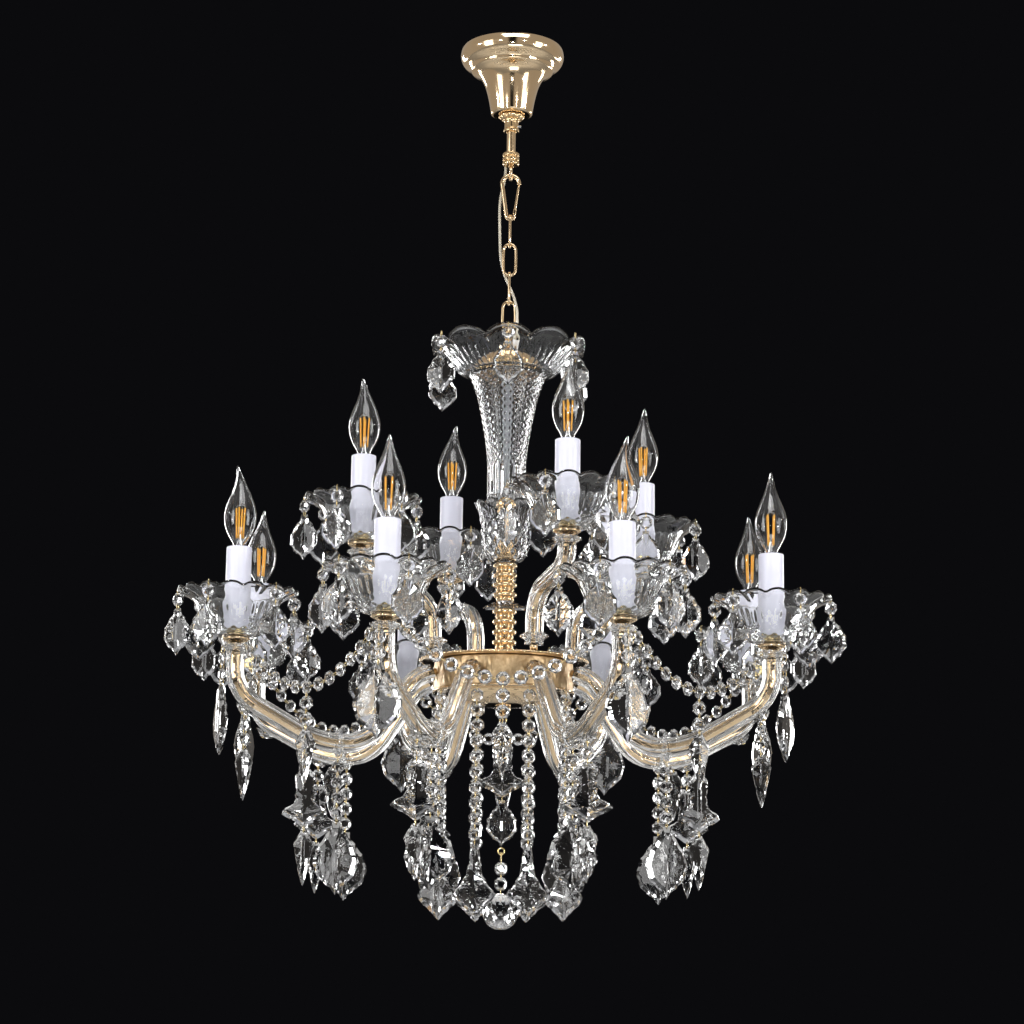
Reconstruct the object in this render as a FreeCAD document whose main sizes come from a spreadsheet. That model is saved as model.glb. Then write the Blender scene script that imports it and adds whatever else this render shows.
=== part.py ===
import FreeCAD, Part
import math
import os
import Sketcher

# Crystal chandelier: twelve candle lights on two tiers of glass-cased arms, hung by a snap hook and an
# oval-link chain from a turned ceiling canopy. Millimetres. The origin is on the ceiling, in the middle
# of the canopy; +Z is up, so the whole object hangs at negative heights. "Out" means away from the Z axis.

Vector = FreeCAD.Vector
Turn = FreeCAD.Rotation
Placement = FreeCAD.Placement
UP = Vector(0, 0, 1)

# ---------------------------------------------------------------- driving dimensions
SIZES = {
    # clearances
    "seat_gap": 0.3,            # between two pieces that rest on each other
    "running_gap": 0.06,        # radial clearance of a pin in its hole
    "thread_gap": 0.3,          # radial room round the threaded tube
    # ceiling fitting
    "bracket_span": 100, "bracket_width": 25, "bracket_thick": 3,
    "screw_spacing": 76, "screw_hole_radius": 2.5,
    "stem_radius": 5, "stem_bore": 3, "stem_drop": 129,
    "nut_radius": 9, "nut_thick": 5, "cup_nut_radius": 9,
    "terminal_wide": 28, "terminal_deep": 14, "terminal_tall": 12,
    "ferrule_radius": 9.5, "ferrule_top": 126, "ferrule_tall": 15,
    # canopy
    "canopy_radius": 60, "canopy_step_radius": 48, "canopy_foot_radius": 24, "canopy_wall": 1.2,
    "canopy_tall": 80, "canopy_step_drop": 26, "canopy_rim_tall": 16,
    "collar_radius": 9, "collar_flange_radius": 15, "collar_tall": 20, "grub_radius": 1.5, "grub_height": 7,
    # rings, hook and chain
    "loop_radius": 7, "loop_wire": 2,
    "hook_wire": 2.25, "hook_head_radius": 9.75, "hook_foot_radius": 4.5, "hook_reach": 52.5,
    "gate_radius": 1.3, "rivet_radius": 0.8,
    "link_wire": 1.5, "link_half_width": 7.25, "link_reach": 37.5,
    # crown and centre column
    "rod_radius": 5, "rod_bore": 3,
    "boss_radius": 8, "boss_tall": 9,
    "cap_radius": 36, "cap_tall": 26, "cap_wall": 1.5,
    "dish_radius": 89, "dish_foot_radius": 46, "dish_tall": 39, "dish_wall": 3,
    "column_top_radius": 45, "column_waist_radius": 22, "column_tall": 148, "column_wall": 5,
    "spacer_radius": 9,
    "cup_radius": 36.5, "cup_foot_radius": 15, "cup_tall": 69, "cup_wall": 4, "cup_overlap": 1,
    "disc_radius": 13.5, "neck_radius": 9,
    "upper_baluster_tall": 44, "lower_baluster_tall": 58,
    "star_radius": 26, "star_thick": 7,
    # hub
    "plate_radius": 94, "plate_thick": 3,
    "drum_radius": 78, "drum_tall": 32, "drum_wall": 2,
    "strand_radius": 74, "flange_radius": 79, "flange_thick": 2, "bowl_radius": 58, "bowl_tall": 16,
    # arms: the metal core, its glass casing and the lead inside
    "core_radius": 4, "core_bore": 2.6, "glass_radius": 10, "lead_radius": 2.3,
    "lower_reach": 308, "lower_end_drop": 713, "lower_low_drop": 818,
    "upper_reach": 170, "upper_end_drop": 599, "upper_foot_reach": 84,
    "collar_star_radius": 16, "collar_star_thick": 7,
    "rosette_radius": 12, "rosette_thick": 5, "rosette_pin_radius": 1.1,
    "upper_collar_lift": 12,
    # one candle light, measured up from the end of its arm
    "seat_radius": 15, "seat_tall": 6,
    "bobeche_radius": 65.5, "bobeche_foot_radius": 17, "bobeche_tall": 53, "bobeche_wall": 3,
    "holder_radius": 10.5, "holder_base": 10, "holder_tall": 87, "socket_depth": 24,
    "sleeve_radius": 13.5, "sleeve_tall": 88,
    "bulb_cap_radius": 7, "bulb_radius": 17.5, "bulb_tall": 88, "bulb_wall": 1,
    # trimmings
    "bead_width": 14, "bead_thick": 7, "clip_radius": 0.8, "clip_tall": 2,
    "rim_drop_wide": 36, "rim_drop_tall": 50, "large_drop_wide": 55, "large_drop_tall": 76,
    "kite_wide": 50, "kite_tall": 78, "plaque_wide": 56, "plaque_tall": 62,
    "spear_wide": 24, "spear_tall": 58, "stone_thick": 10,
    "ball_radius": 20, "ring_radius": 3.5, "ring_wire": 0.8, "swag_sag": 52,
    "cable_radius": 1.5, "gland_radius": 2.6, "gland_tall": 16,
}
LOWER_ARMS = 8
UPPER_ARMS = 4
FIRST_ARM_ANGLE = 22.5

# The clear cable's route from the ferrule down beside the chain, through a link, to the crown's gland.
CABLE_ROUTE = [
    (-6, 5, -141), (-6, 5, -156), (-12.5, 6, -179), (-12, 6.4, -215),
    (-10.2, 6, -262), (9, -6, -306), (10, -4.5, -332), (10, -4.5, -350),
]


class Size(float):
    """A length that also keeps the sheet formula it came from, so that features can be bound to it."""

    def __new__(cls, value, formula):
        number = float.__new__(cls, value)
        number.formula = formula
        return number

    def __add__(self, other):
        return Size(float(self) + float(other), f"({self.formula} + {formula_of(other)})")

    def __radd__(self, other):
        return Size(float(other) + float(self), f"({formula_of(other)} + {self.formula})")

    def __sub__(self, other):
        return Size(float(self) - float(other), f"({self.formula} - {formula_of(other)})")

    def __rsub__(self, other):
        return Size(float(other) - float(self), f"({formula_of(other)} - {self.formula})")

    def __mul__(self, factor):
        return Size(float(self) * float(factor), f"({self.formula} * {formula_of(factor)})")

    def __neg__(self):
        return Size(-float(self), f"(0 - {self.formula})")


def formula_of(number):
    return number.formula if isinstance(number, Size) else repr(float(number))


doc = FreeCAD.newDocument("chandelier")
sheet = doc.addObject("Spreadsheet::Sheet", "Sizes")
for row, (word, value) in enumerate(SIZES.items(), start=1):
    sheet.set(f"A{row}", word)
    sheet.set(f"B{row}", str(value))
    sheet.setAlias(f"B{row}", word)
doc.recompute()


def size(word):
    return Size(sheet.get(word), f"Sizes.{word}")


sub_parts = {}


# ---------------------------------------------------------------- ways of making a piece
def named(label, item):
    """Name a finished sub-part. Its label is also its file's name."""
    item.Label = label
    sub_parts[label] = item
    return item


def origin_plane(body, role):
    return next(plane for plane in body.Origin.OriginFeatures if plane.Role == role)


def drawn_sketch(body, name, role, points):
    """A closed outline whose corners are bound to the sheet. A corner is (x, y), or (x, y, (vx, vy)) when
    the line that leads to it is an arc through (vx, vy)."""
    sketch = body.newObject("Sketcher::SketchObject", name)
    sketch.AttachmentSupport = [(origin_plane(body, role), "")]
    sketch.MapMode = "FlatFace"
    for index, corner in enumerate(points):
        start = points[index - 1]
        first, last = Vector(start[0], start[1], 0), Vector(corner[0], corner[1], 0)
        if len(corner) == 3:
            sketch.addGeometry(Part.Arc(first, Vector(corner[2][0], corner[2][1], 0), last), False)
        else:
            sketch.addGeometry(Part.LineSegment(first, last), False)
    for index, corner in enumerate(points):
        here = Vector(corner[0], corner[1], 0)
        place = 1 if (sketch.getPoint(index, 1) - here).Length < 1e-6 else 2
        following = (index + 1) % len(points)
        start = 1 if (sketch.getPoint(following, 1) - here).Length < 1e-6 else 2
        sketch.addConstraint(Sketcher.Constraint("Coincident", index, place, following, start))
        for kind, number in (("DistanceX", corner[0]), ("DistanceY", corner[1])):
            limit = sketch.addConstraint(Sketcher.Constraint(kind, -1, 1, index, place, float(number)))
            sketch.setExpression(f"Constraints[{limit}]", formula_of(number))
    return sketch


def turned(label, profile):
    """A piece turned about the Z axis from a closed profile of (radius, height) corners."""
    body = doc.addObject("PartDesign::Body", label)
    sketch = drawn_sketch(body, label + "_profile", "XZ_Plane", profile)
    sketch.Visibility = False
    turning = body.newObject("PartDesign::Revolution", label + "_turning")
    turning.Profile = sketch
    turning.ReferenceAxis = (sketch, ["V_Axis"])
    turning.Angle = 360
    body.Tip = turning
    return named(label, body)


def cylinder(name, radius, tall, place):
    item = doc.addObject("Part::Cylinder", name)
    item.setExpression("Radius", formula_of(radius))
    item.setExpression("Height", formula_of(tall))
    item.Placement = Placement(Vector(*place), Turn())
    if isinstance(place[2], Size):
        item.setExpression("Placement.Base.z", place[2].formula)
    return item


def box(name, wide, deep, tall, place):
    item = doc.addObject("Part::Box", name)
    for side, number in (("Length", wide), ("Width", deep), ("Height", tall)):
        item.setExpression(side, formula_of(number))
    item.Placement = Placement(Vector(*place), Turn())
    for axis, number in zip("xyz", place):
        if isinstance(number, Size):
            item.setExpression("Placement.Base." + axis, number.formula)
    return item


def upright_ring(name, radius, wire, height):
    """A round wire ring that stands in the YZ plane, centred on the Z axis."""
    item = doc.addObject("Part::Torus", name)
    item.setExpression("Radius1", formula_of(radius))
    item.setExpression("Radius2", formula_of(wire))
    item.Placement = Placement(Vector(0, 0, height), Turn(Vector(0, 1, 0), 90))
    item.setExpression("Placement.Base.z", formula_of(height))
    return item


def joined(label, *items):
    fusion = doc.addObject("Part::MultiFuse", label)
    fusion.Shapes = list(items)
    return fusion


def cut_from(label, base, tool):
    cut = doc.addObject("Part::Cut", label)
    cut.Base = base
    cut.Tool = tool
    return cut


def group(label, solids, place=None):
    """Several like solids, or one that no feature fits, as one sub-part."""
    item = doc.addObject("Part::Feature", label)
    item.Shape = Part.makeCompound(solids) if len(solids) > 1 else solids[0]
    item.Placement = place or Placement()
    return named(label, item)


def revolved(profile):
    """A solid turned about Z from (radius, height) corners; a third value is the arc's middle point."""
    edges = []
    for index, corner in enumerate(profile):
        start = profile[index - 1]
        first, last = Vector(start[0], 0, start[1]), Vector(corner[0], 0, corner[1])
        if len(corner) == 3:
            edges.append(Part.Arc(first, Vector(corner[2][0], 0, corner[2][1]), last).toShape())
        else:
            edges.append(Part.LineSegment(first, last).toShape())
    return Part.Face(Part.Wire(edges)).revolve(Vector(0, 0, 0), UP, 360)


def rounded_route(points, cut_in=0.0, cut_out=0.0):
    """Straight runs joined by tangent arcs, each as large as its two runs allow. The route can start and
    end a little way inside its first and last runs."""
    corners = [Vector(*point) for point in points]
    finish = corners[-1] + (corners[-2] - corners[-1]).normalize() * float(cut_out)
    edges, radii, here = [], [], corners[0] + (corners[1] - corners[0]).normalize() * float(cut_in)
    for before, corner, after in zip(corners, corners[1:], corners[2:]):
        back, ahead = (before - corner), (after - corner)
        half_turn = (math.pi - back.getAngle(ahead)) / 2
        reach = 0.45 * min(back.Length, ahead.Length)
        radius = reach / math.tan(half_turn)
        back.normalize()
        ahead.normalize()
        first, last = corner + back * reach, corner + ahead * reach
        inward = (back + ahead).normalize()
        middle = corner + inward * (radius / math.cos(half_turn) - radius)
        edges += [Part.LineSegment(here, first).toShape(), Part.Arc(first, middle, last).toShape()]
        radii.append(radius)
        here = last
    edges.append(Part.LineSegment(here, finish).toShape())
    return Part.Wire(edges), radii


def swept(points, radius, cut_in=0.0, cut_out=0.0):
    """A round bar along a rounded route."""
    wire, radii = rounded_route(points, cut_in, cut_out)
    along = Vector(*points[1]) - Vector(*points[0])
    section = Part.Wire(Part.makeCircle(radius, wire.OrderedVertexes[0].Point, along))
    return wire.makePipeShell([section], True, False)


def star_plate(radius, inner, thick, points, hole):
    """A flat star with a round hole, lying on the XY plane."""
    corners = []
    for k in range(2 * points + 1):
        reach = radius if k % 2 == 0 else inner
        angle = math.pi * k / points
        corners.append(Vector(reach * math.cos(angle), reach * math.sin(angle), 0))
    plate = Part.Face(Part.makePolygon(corners)).extrude(Vector(0, 0, thick))
    return plate.cut(Part.makeCylinder(hole, thick * 3, Vector(0, 0, -thick)))


def stone(outline, thick, table=0.6):
    """A cut stone that hangs from its top at the origin and faces -Y. Its girdle is the outline of
    (x, z) corners; the front and back tables are the same outline drawn in."""
    middle = sum(z for x, z in outline) / len(outline)
    wires = []
    for depth, share in ((-thick / 2, table), (0, 1), (thick / 2, table)):
        ring = [Vector(x * share, depth, middle + (z - middle) * share) for x, z in outline]
        wires.append(Part.makePolygon(ring + ring[:1]))
    return Part.makeLoft(wires, True, True)


def mirrored_outline(half):
    """An outline from its right half, listed from the top down."""
    return half + [(-x, z) for x, z in reversed(half) if x > 0]


def scaled_outline(half, wide, tall):
    return mirrored_outline([(x * wide, -z * tall) for x, z in half])


# ---------------------------------------------------------------- shared sizes and heights
seat = size("seat_gap")
rod_hole = size("rod_radius") + size("thread_gap")
stem_hole = size("stem_radius") + size("thread_gap")
ferrule_top_z = -size("ferrule_top")
ferrule_foot_z = ferrule_top_z - size("ferrule_tall")
loop_z = ferrule_foot_z - seat - size("loop_wire") - size("loop_radius")
loop_low_z = loop_z - size("loop_radius")
hook_top_z = loop_low_z + size("loop_wire") + size("hook_wire") + seat
hook_low_z = hook_top_z - size("hook_reach")
first_link_z = hook_low_z + size("hook_wire") + size("link_wire") + seat
link_pitch = size("link_reach") - size("link_wire") * 2 - seat
LINKS = 4
last_link_low_z = first_link_z - link_pitch * (LINKS - 1) - size("link_reach")
crown_ring_z = last_link_low_z + size("link_wire") + size("loop_wire") + seat - size("loop_radius")
boss_top_z = crown_ring_z - size("loop_radius")
boss_foot_z = boss_top_z - size("boss_tall")
cap_top_z = boss_foot_z - seat
cap_foot_z = cap_top_z - size("cap_tall")
dish_floor_z = cap_foot_z - seat
dish_foot_z = dish_floor_z - size("dish_wall")
dish_rim_z = dish_foot_z + size("dish_tall")
column_top_z = dish_foot_z - seat
column_foot_z = column_top_z - size("column_tall")
spacer_top_z = column_foot_z - seat
cup_rim_z = column_foot_z + size("cup_overlap")
cup_foot_z = cup_rim_z - size("cup_tall")
cup_floor_z = cup_foot_z + size("cup_wall")
upper_baluster_z = cup_foot_z - seat
star_top_z = upper_baluster_z - size("upper_baluster_tall") - seat
lower_baluster_z = star_top_z - size("star_thick") - seat
plate_top_z = lower_baluster_z - size("lower_baluster_tall") - seat
plate_foot_z = plate_top_z - size("plate_thick")
drum_top_z = plate_foot_z - seat
drum_foot_z = drum_top_z - size("drum_tall")
flange_top_z = drum_foot_z - seat
flange_foot_z = flange_top_z - size("flange_thick")
bowl_foot_z = flange_top_z - size("bowl_tall")
eye_top_z = bowl_foot_z - seat
EYE_BOSS_TALL = 6
EYE_RADIUS = 4
EYE_WIRE = 1.2
rod_foot_z = eye_top_z - 4
eye_ring_z = eye_top_z - EYE_BOSS_TALL - EYE_RADIUS - EYE_WIRE + 1
lower_end_z = -size("lower_end_drop")
upper_end_z = -size("upper_end_drop")
LOWER_ANGLES = [FIRST_ARM_ANGLE + 360 / LOWER_ARMS * k for k in range(LOWER_ARMS)]
UPPER_ANGLES = [FIRST_ARM_ANGLE + 360 / UPPER_ARMS * k for k in range(UPPER_ARMS)]


def polar(reach, angle, height):
    return Vector(reach * math.cos(math.radians(angle)), reach * math.sin(math.radians(angle)), height)


def copies_round(solid, angles, reach=0.0, height=0.0):
    """Copies of a solid that is drawn at the origin, set out round the Z axis with their faces out."""
    placed = []
    for angle in angles:
        item = solid.copy()
        item.Placement = Placement(polar(reach, angle, height), Turn(UP, angle)).multiply(item.Placement)
        placed.append(item)
    return placed


# ---------------------------------------------------------------- ceiling fitting and canopy
TOP_GAP = 0.4           # between the canopy's rim and the ceiling
GROOVE = 0.6            # half the width of a groove between two rings of the ferrule
GROOVE_DEPTH = 1.4


def ceiling_bracket():
    half, width, thick = size("bracket_span") * 0.5, size("bracket_width"), size("bracket_thick")
    body = doc.addObject("PartDesign::Body", "ceiling_bracket")
    corners = [(-half, width * -0.5), (half, width * -0.5), (half, width * 0.5), (-half, width * 0.5)]
    strap = body.newObject("PartDesign::Pad", "strap")
    strap.Profile = drawn_sketch(body, "strap_outline", "XY_Plane", corners)
    strap.setExpression("Length", formula_of(thick))
    strap.Reversed = True
    holes = body.newObject("Sketcher::SketchObject", "hole_places")
    holes.AttachmentSupport = [(origin_plane(body, "XY_Plane"), "")]
    holes.MapMode = "FlatFace"
    spots = ((size("screw_spacing") * 0.5, size("screw_hole_radius")),
             (size("screw_spacing") * -0.5, size("screw_hole_radius")), (0.0, stem_hole))
    for index, (across, radius) in enumerate(spots):
        holes.addGeometry(Part.Circle(Vector(across, 0, 0), UP, radius), False)
        wide = holes.addConstraint(Sketcher.Constraint("Radius", index, float(radius)))
        holes.setExpression(f"Constraints[{wide}]", formula_of(radius))
        side = holes.addConstraint(Sketcher.Constraint("DistanceX", -1, 1, index, 3, float(across)))
        holes.setExpression(f"Constraints[{side}]", formula_of(across))
        holes.addConstraint(Sketcher.Constraint("DistanceY", -1, 1, index, 3, 0.0))
    drilling = body.newObject("PartDesign::Pocket", "drilling")
    drilling.Profile = holes
    drilling.Type = "ThroughAll"
    drilling.Midplane = True
    body.Tip = drilling
    return named("ceiling_bracket", body)


def hanger_stem():
    """The threaded tube that carries everything; its top is flush with the bracket."""
    top, foot = -seat, -size("stem_drop")
    bore, wall = size("stem_bore"), size("stem_radius")
    return turned("hanger_stem", [(bore, top), (wall, top), (wall, foot), (bore, foot)])


def stem_nut():
    """Hexagon nut under the bracket."""
    prism = doc.addObject("Part::Prism", "nut_blank")
    prism.Polygon = 6
    prism.setExpression("Circumradius", formula_of(size("nut_radius")))
    prism.setExpression("Height", formula_of(size("nut_thick")))
    foot = -size("bracket_thick") - seat - size("nut_thick")
    prism.setExpression("Placement.Base.z", foot.formula)
    hole = cylinder("nut_thread", stem_hole, size("nut_thick") + 2, (0, 0, foot - 1))
    return named("stem_nut", cut_from("stem_nut", prism, hole))


def terminal_block():
    wide, deep, tall = size("terminal_wide"), size("terminal_deep"), size("terminal_tall")
    block = box("terminal_block", wide, deep, tall,
                (-(wide + size("nut_radius") + 2), deep * -0.5, -(tall + size("bracket_thick") + seat)))
    return named("terminal_block", block)


def hanger_ferrule():
    """Three turned rings that close the stem and hold the loop's stud."""
    wall, groove = size("ferrule_radius"), size("ferrule_radius") - GROOVE_DEPTH
    top, foot = ferrule_top_z, ferrule_foot_z
    floor = -size("stem_drop") - seat
    profile = [(stem_hole, top), (wall, top)]
    ring = size("ferrule_tall") * (1 / 3)
    for k in range(2):
        level = top - ring * (k + 1)
        profile += [(wall, level + GROOVE), (groove, level + GROOVE), (groove, level - GROOVE),
                    (wall, level - GROOVE)]
    stud_hole = size("loop_wire") + 1 + seat
    profile += [(wall, foot), (stud_hole, foot), (stud_hole, floor), (stem_hole, floor)]
    return turned("hanger_ferrule", profile)


def hanger_loop():
    ring = upright_ring("loop_ring", size("loop_radius"), size("loop_wire"), loop_z)
    stud_foot = loop_z + size("loop_radius")
    stud = cylinder("loop_stud", size("loop_wire") + 1, ferrule_foot_z + 9 - stud_foot, (0, 0, stud_foot))
    return named("hanger_loop", joined("hanger_loop", ring, stud))


def canopy():
    """Spun metal cover: a rolled rim, a shallow step and a flared funnel down to the stem."""
    wall, rim = size("canopy_wall"), size("canopy_radius")
    step, foot = size("canopy_step_radius"), size("canopy_foot_radius")
    step_z, foot_z, bend_z = -size("canopy_step_drop"), -size("canopy_tall"), -size("canopy_rim_tall")
    shoulder, shoulder_z = step - 7, step_z - 3
    top_z = -TOP_GAP
    funnel = (foot + 7, foot_z * 0.62)
    cove = (step + 7, step_z + 5)
    outer = [(stem_hole, foot_z), (foot, foot_z), (shoulder, shoulder_z, funnel), (step, step_z),
             (rim - 4, bend_z, cove), (rim - 2, top_z, (rim, bend_z * 0.44))]
    inner = [(rim - 2 - wall, top_z), (rim - 4 - wall, bend_z + wall, (rim - wall, bend_z * 0.44)),
             (step - wall, step_z + wall, (cove[0] - wall, cove[1] + wall)),
             (shoulder - wall, shoulder_z + wall),
             (foot - wall, foot_z + wall, (funnel[0] - wall, funnel[1] + wall)), (stem_hole, foot_z + wall)]
    return turned("canopy", outer + inner)


def canopy_collar():
    """Ring with a grub screw that grips the stem and holds the canopy up against the ceiling."""
    top, wall, flange = -size("canopy_tall") - seat, size("collar_radius"), size("collar_flange_radius")
    foot = top - size("collar_tall")
    blank = revolved([(stem_hole, top), (flange, top), (flange, top - 3), (wall, top - 5), (wall, foot),
                      (stem_hole, foot)])
    hole = Part.makeCylinder(size("grub_radius") + size("running_gap"), flange,
                             Vector(0, 0, foot + size("grub_height")), Vector(1, 0, 0))
    return group("canopy_collar", [blank.cut(hole)])


def collar_screw():
    foot = -size("canopy_tall") - seat - size("collar_tall")
    screw = Part.makeCylinder(size("grub_radius"), size("collar_radius") - stem_hole + 2,
                              Vector(stem_hole + 0.2, 0, foot + size("grub_height")), Vector(1, 0, 0))
    return group("collar_screw", [screw])


# ---------------------------------------------------------------- hook, gate, chain and cable
def hook_side():
    """Points where the hook's straight right side leaves its foot arc and meets its head arc."""
    head, foot = size("hook_head_radius"), size("hook_foot_radius")
    head_z, foot_z = hook_top_z - head, hook_low_z + foot
    lean = (head - foot) / (head_z - foot_z)
    across = math.sqrt(1 - lean * lean)
    low = Vector(foot * across, 0, foot_z - foot * lean)
    high = Vector(head * across, 0, head_z - head * lean)
    return low, high


GATE_START = 6.5    # how far up the straight side the gate's rivet sits
GATE_TIP_GAP = 0.4
EAR_WIDE = 3.4      # the two ears that the rivet passes through
EAR_THICK = 0.7
EAR_RISE = 1        # how far an ear goes on above the rivet


def gate_pivot():
    low, high = hook_side()
    return low + (high - low).normalize() * GATE_START


def snap_hook():
    """Pear-shaped wire hook, open on its right side where the gate closes it."""
    low, high = hook_side()
    left_low, left_high = Vector(-low.x, 0, low.z), Vector(-high.x, 0, high.z)
    side = (high - low).normalize()
    start = low + side * 1.2
    edges = [Part.LineSegment(start, low).toShape(),
             Part.Arc(low, Vector(0, 0, hook_low_z), left_low).toShape(),
             Part.LineSegment(left_low, left_high).toShape(),
             Part.Arc(left_high, Vector(0, 0, hook_top_z), high).toShape()]
    section = Part.Wire(Part.makeCircle(size("hook_wire"), start, side))
    wire = Part.Wire(edges).makePipeShell([section], True, False)
    pivot = gate_pivot()
    ears = []
    for face in (-1, 1):
        ear = Part.makeBox(EAR_WIDE, EAR_THICK, GATE_START + 0.2 + EAR_RISE,
                           Vector(-EAR_WIDE / 2, -EAR_THICK / 2, EAR_RISE - GATE_START))
        slope = Turn(UP, side)
        middle = pivot + Vector(0, face * (size("gate_radius") + seat + EAR_THICK / 2), 0)
        ear.Placement = Placement(middle, slope)
        hole = Part.makeCylinder(size("rivet_radius"), 8, pivot - Vector(0, 4, 0), Vector(0, 1, 0))
        ears.append(ear.cut(hole))
    return group("snap_hook", [wire.fuse(ears)])


def gate_rivet():
    reach = size("gate_radius") + seat * 2 + EAR_THICK
    pin = Part.makeCylinder(size("rivet_radius") - size("running_gap"), reach * 2,
                            gate_pivot() - Vector(0, reach, 0), Vector(0, 1, 0))
    return group("gate_rivet", [pin])


def hook_gate():
    """Spring gate: it turns in on the rivet and closes against the hook's nose."""
    low, high = hook_side()
    pivot = gate_pivot()
    side = (high - low).normalize()
    tail = pivot - side * 1.6
    bar = Part.makeCylinder(size("gate_radius"), (high - tail).Length - GATE_TIP_GAP, tail, side)
    hole = Part.makeCylinder(size("rivet_radius"), 8, pivot - Vector(0, 4, 0), Vector(0, 1, 0))
    return group("hook_gate", [bar.cut(hole)])


def link_solid():
    """One oval link in the XZ plane, with the middle of its top wire at the origin."""
    half, reach, wire = size("link_half_width"), size("link_reach"), size("link_wire")
    upper, lower = -half, half - reach
    edges = [Part.Arc(Vector(-half, 0, upper), Vector(0, 0, 0), Vector(half, 0, upper)).toShape(),
             Part.LineSegment(Vector(half, 0, upper), Vector(half, 0, lower)).toShape(),
             Part.Arc(Vector(half, 0, lower), Vector(0, 0, -reach), Vector(-half, 0, lower)).toShape(),
             Part.LineSegment(Vector(-half, 0, lower), Vector(-half, 0, upper)).toShape()]
    section = Part.Wire(Part.makeCircle(wire, Vector(-half, 0, upper), UP))
    return Part.Wire(edges).makePipeShell([section], True, False)


def chain_links():
    """The first link stands across the hook, and each next one across the one above."""
    for k in range(LINKS):
        across = 90 if k % 2 == 0 else 0
        place = Placement(Vector(0, 0, first_link_z - link_pitch * k), Turn(UP, across))
        group(f"chain_link_{k + 1}", [link_solid()], place)


def power_cable():
    """Clear round cable, drawn whole along its real route, with its ends face to face on what holds it."""
    radius = size("cable_radius")
    route = [(x, y, z) for x, y, z in CABLE_ROUTE]
    cable = swept(route, radius)
    wire, radii = rounded_route(route)
    print("cable radii", [round(value, 1) for value in radii], "length", round(wire.Length, 1),
          "volume share", round(cable.Volume / (math.pi * radius ** 2 * wire.Length), 4))
    return group("power_cable", [cable])


def cable_gland():
    across, along, top = CABLE_ROUTE[-1]
    tall = size("gland_tall")
    gland = Part.makeCylinder(size("gland_radius"), tall, Vector(across, along, top - tall))
    return group("cable_gland", [gland])


# ---------------------------------------------------------------- crown and centre column
def crown_loop():
    ring = upright_ring("crown_ring", size("loop_radius"), size("loop_wire"), crown_ring_z)
    boss = cylinder("crown_boss", size("boss_radius"), size("boss_tall"), (0, 0, boss_foot_z))
    bore = cylinder("crown_thread", rod_hole, size("boss_tall") - 2.5, (0, 0, boss_foot_z - 0.5))
    return named("crown_loop", cut_from("crown_loop", joined("crown_loop_blank", ring, boss), bore))


def crown_cap():
    """Domed metal cap that covers the wiring inside the crown dish."""
    wall, wide = size("cap_wall"), size("cap_radius")
    top, foot = cap_top_z, cap_foot_z
    outer = (wide * 0.78, top - size("cap_tall") * 0.3)
    dome = revolved([(rod_hole, top), (boss_edge(), top), (wide, foot, outer), (wide - wall, foot),
                     (boss_edge(), top - wall, (outer[0] - wall, outer[1] - wall)), (rod_hole, top - wall)])
    across, along, height = CABLE_ROUTE[-1]
    hole = Part.makeCylinder(size("gland_radius") + size("seat_gap"), 60, Vector(across, along, cap_foot_z))
    return group("crown_cap", [dome.cut(hole)])


def boss_edge():
    return size("boss_radius") + 1


def crown_dish():
    """Wide pressed-glass dish; its floor rests on the column."""
    wall, rim, foot = size("dish_wall"), size("dish_radius"), size("dish_foot_radius")
    low, top = dish_foot_z, dish_rim_z
    middle = (foot * 0.5 + rim * 0.5 + 3, low + size("dish_tall") * 0.36)
    return turned("crown_dish", [
        (rod_hole, low), (foot, low), (rim - 6, top - wall, middle), (rim, top - wall), (rim, top),
        (rim - 7, top),
        (foot, low + wall, (middle[0] - wall * 0.8, middle[1] + wall * 0.8)), (rod_hole, low + wall)])


def crown_column():
    """Cut-glass trumpet, hollow, with a solid foot that the rod passes through."""
    wall, wide, waist = size("column_wall"), size("column_top_radius"), size("column_waist_radius")
    top, foot = column_top_z, column_foot_z
    knee = foot + size("column_tall") * 0.3
    bend = (waist + (wide - waist) * 0.28, knee + size("column_tall") * 0.38)
    return turned("crown_column", [
        (rod_hole, foot), (waist, foot), (waist, knee), (wide, top, bend), (wide - wall, top),
        (waist - wall, knee, (bend[0] - wall, bend[1])), (waist - wall, foot + 8), (rod_hole, foot + 8)])


def centre_rod():
    top, foot = boss_top_z - 4, rod_foot_z
    return turned("centre_rod", [(size("rod_bore"), top), (size("rod_radius"), top),
                                 (size("rod_radius"), foot), (size("rod_bore"), foot)])


def cup_spacer():
    top, foot = spacer_top_z, cup_floor_z + seat
    wide = size("spacer_radius")
    return turned("cup_spacer", [(rod_hole, top), (wide + 3, top), (wide + 3, top - 3), (wide, top - 4),
                                 (wide, foot + 4), (wide + 3, foot + 3), (wide + 3, foot), (rod_hole, foot)])


def glass_cup():
    """Small cut-glass tulip under the column."""
    wall, rim, foot = size("cup_wall"), size("cup_radius"), size("cup_foot_radius")
    low, top = cup_foot_z, cup_rim_z
    belly = (foot + (rim - foot) * 0.72, low + size("cup_tall") * 0.42)
    return turned("glass_cup", [
        (rod_hole, low), (foot, low), (rim, top, belly), (rim - wall, top),
        (foot - 1, low + wall, (belly[0] - wall, belly[1] + 1)), (rod_hole, low + wall)])


UPPER_DISCS = 4
LOWER_DISCS = 5
STAR_POINTS = 12


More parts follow.
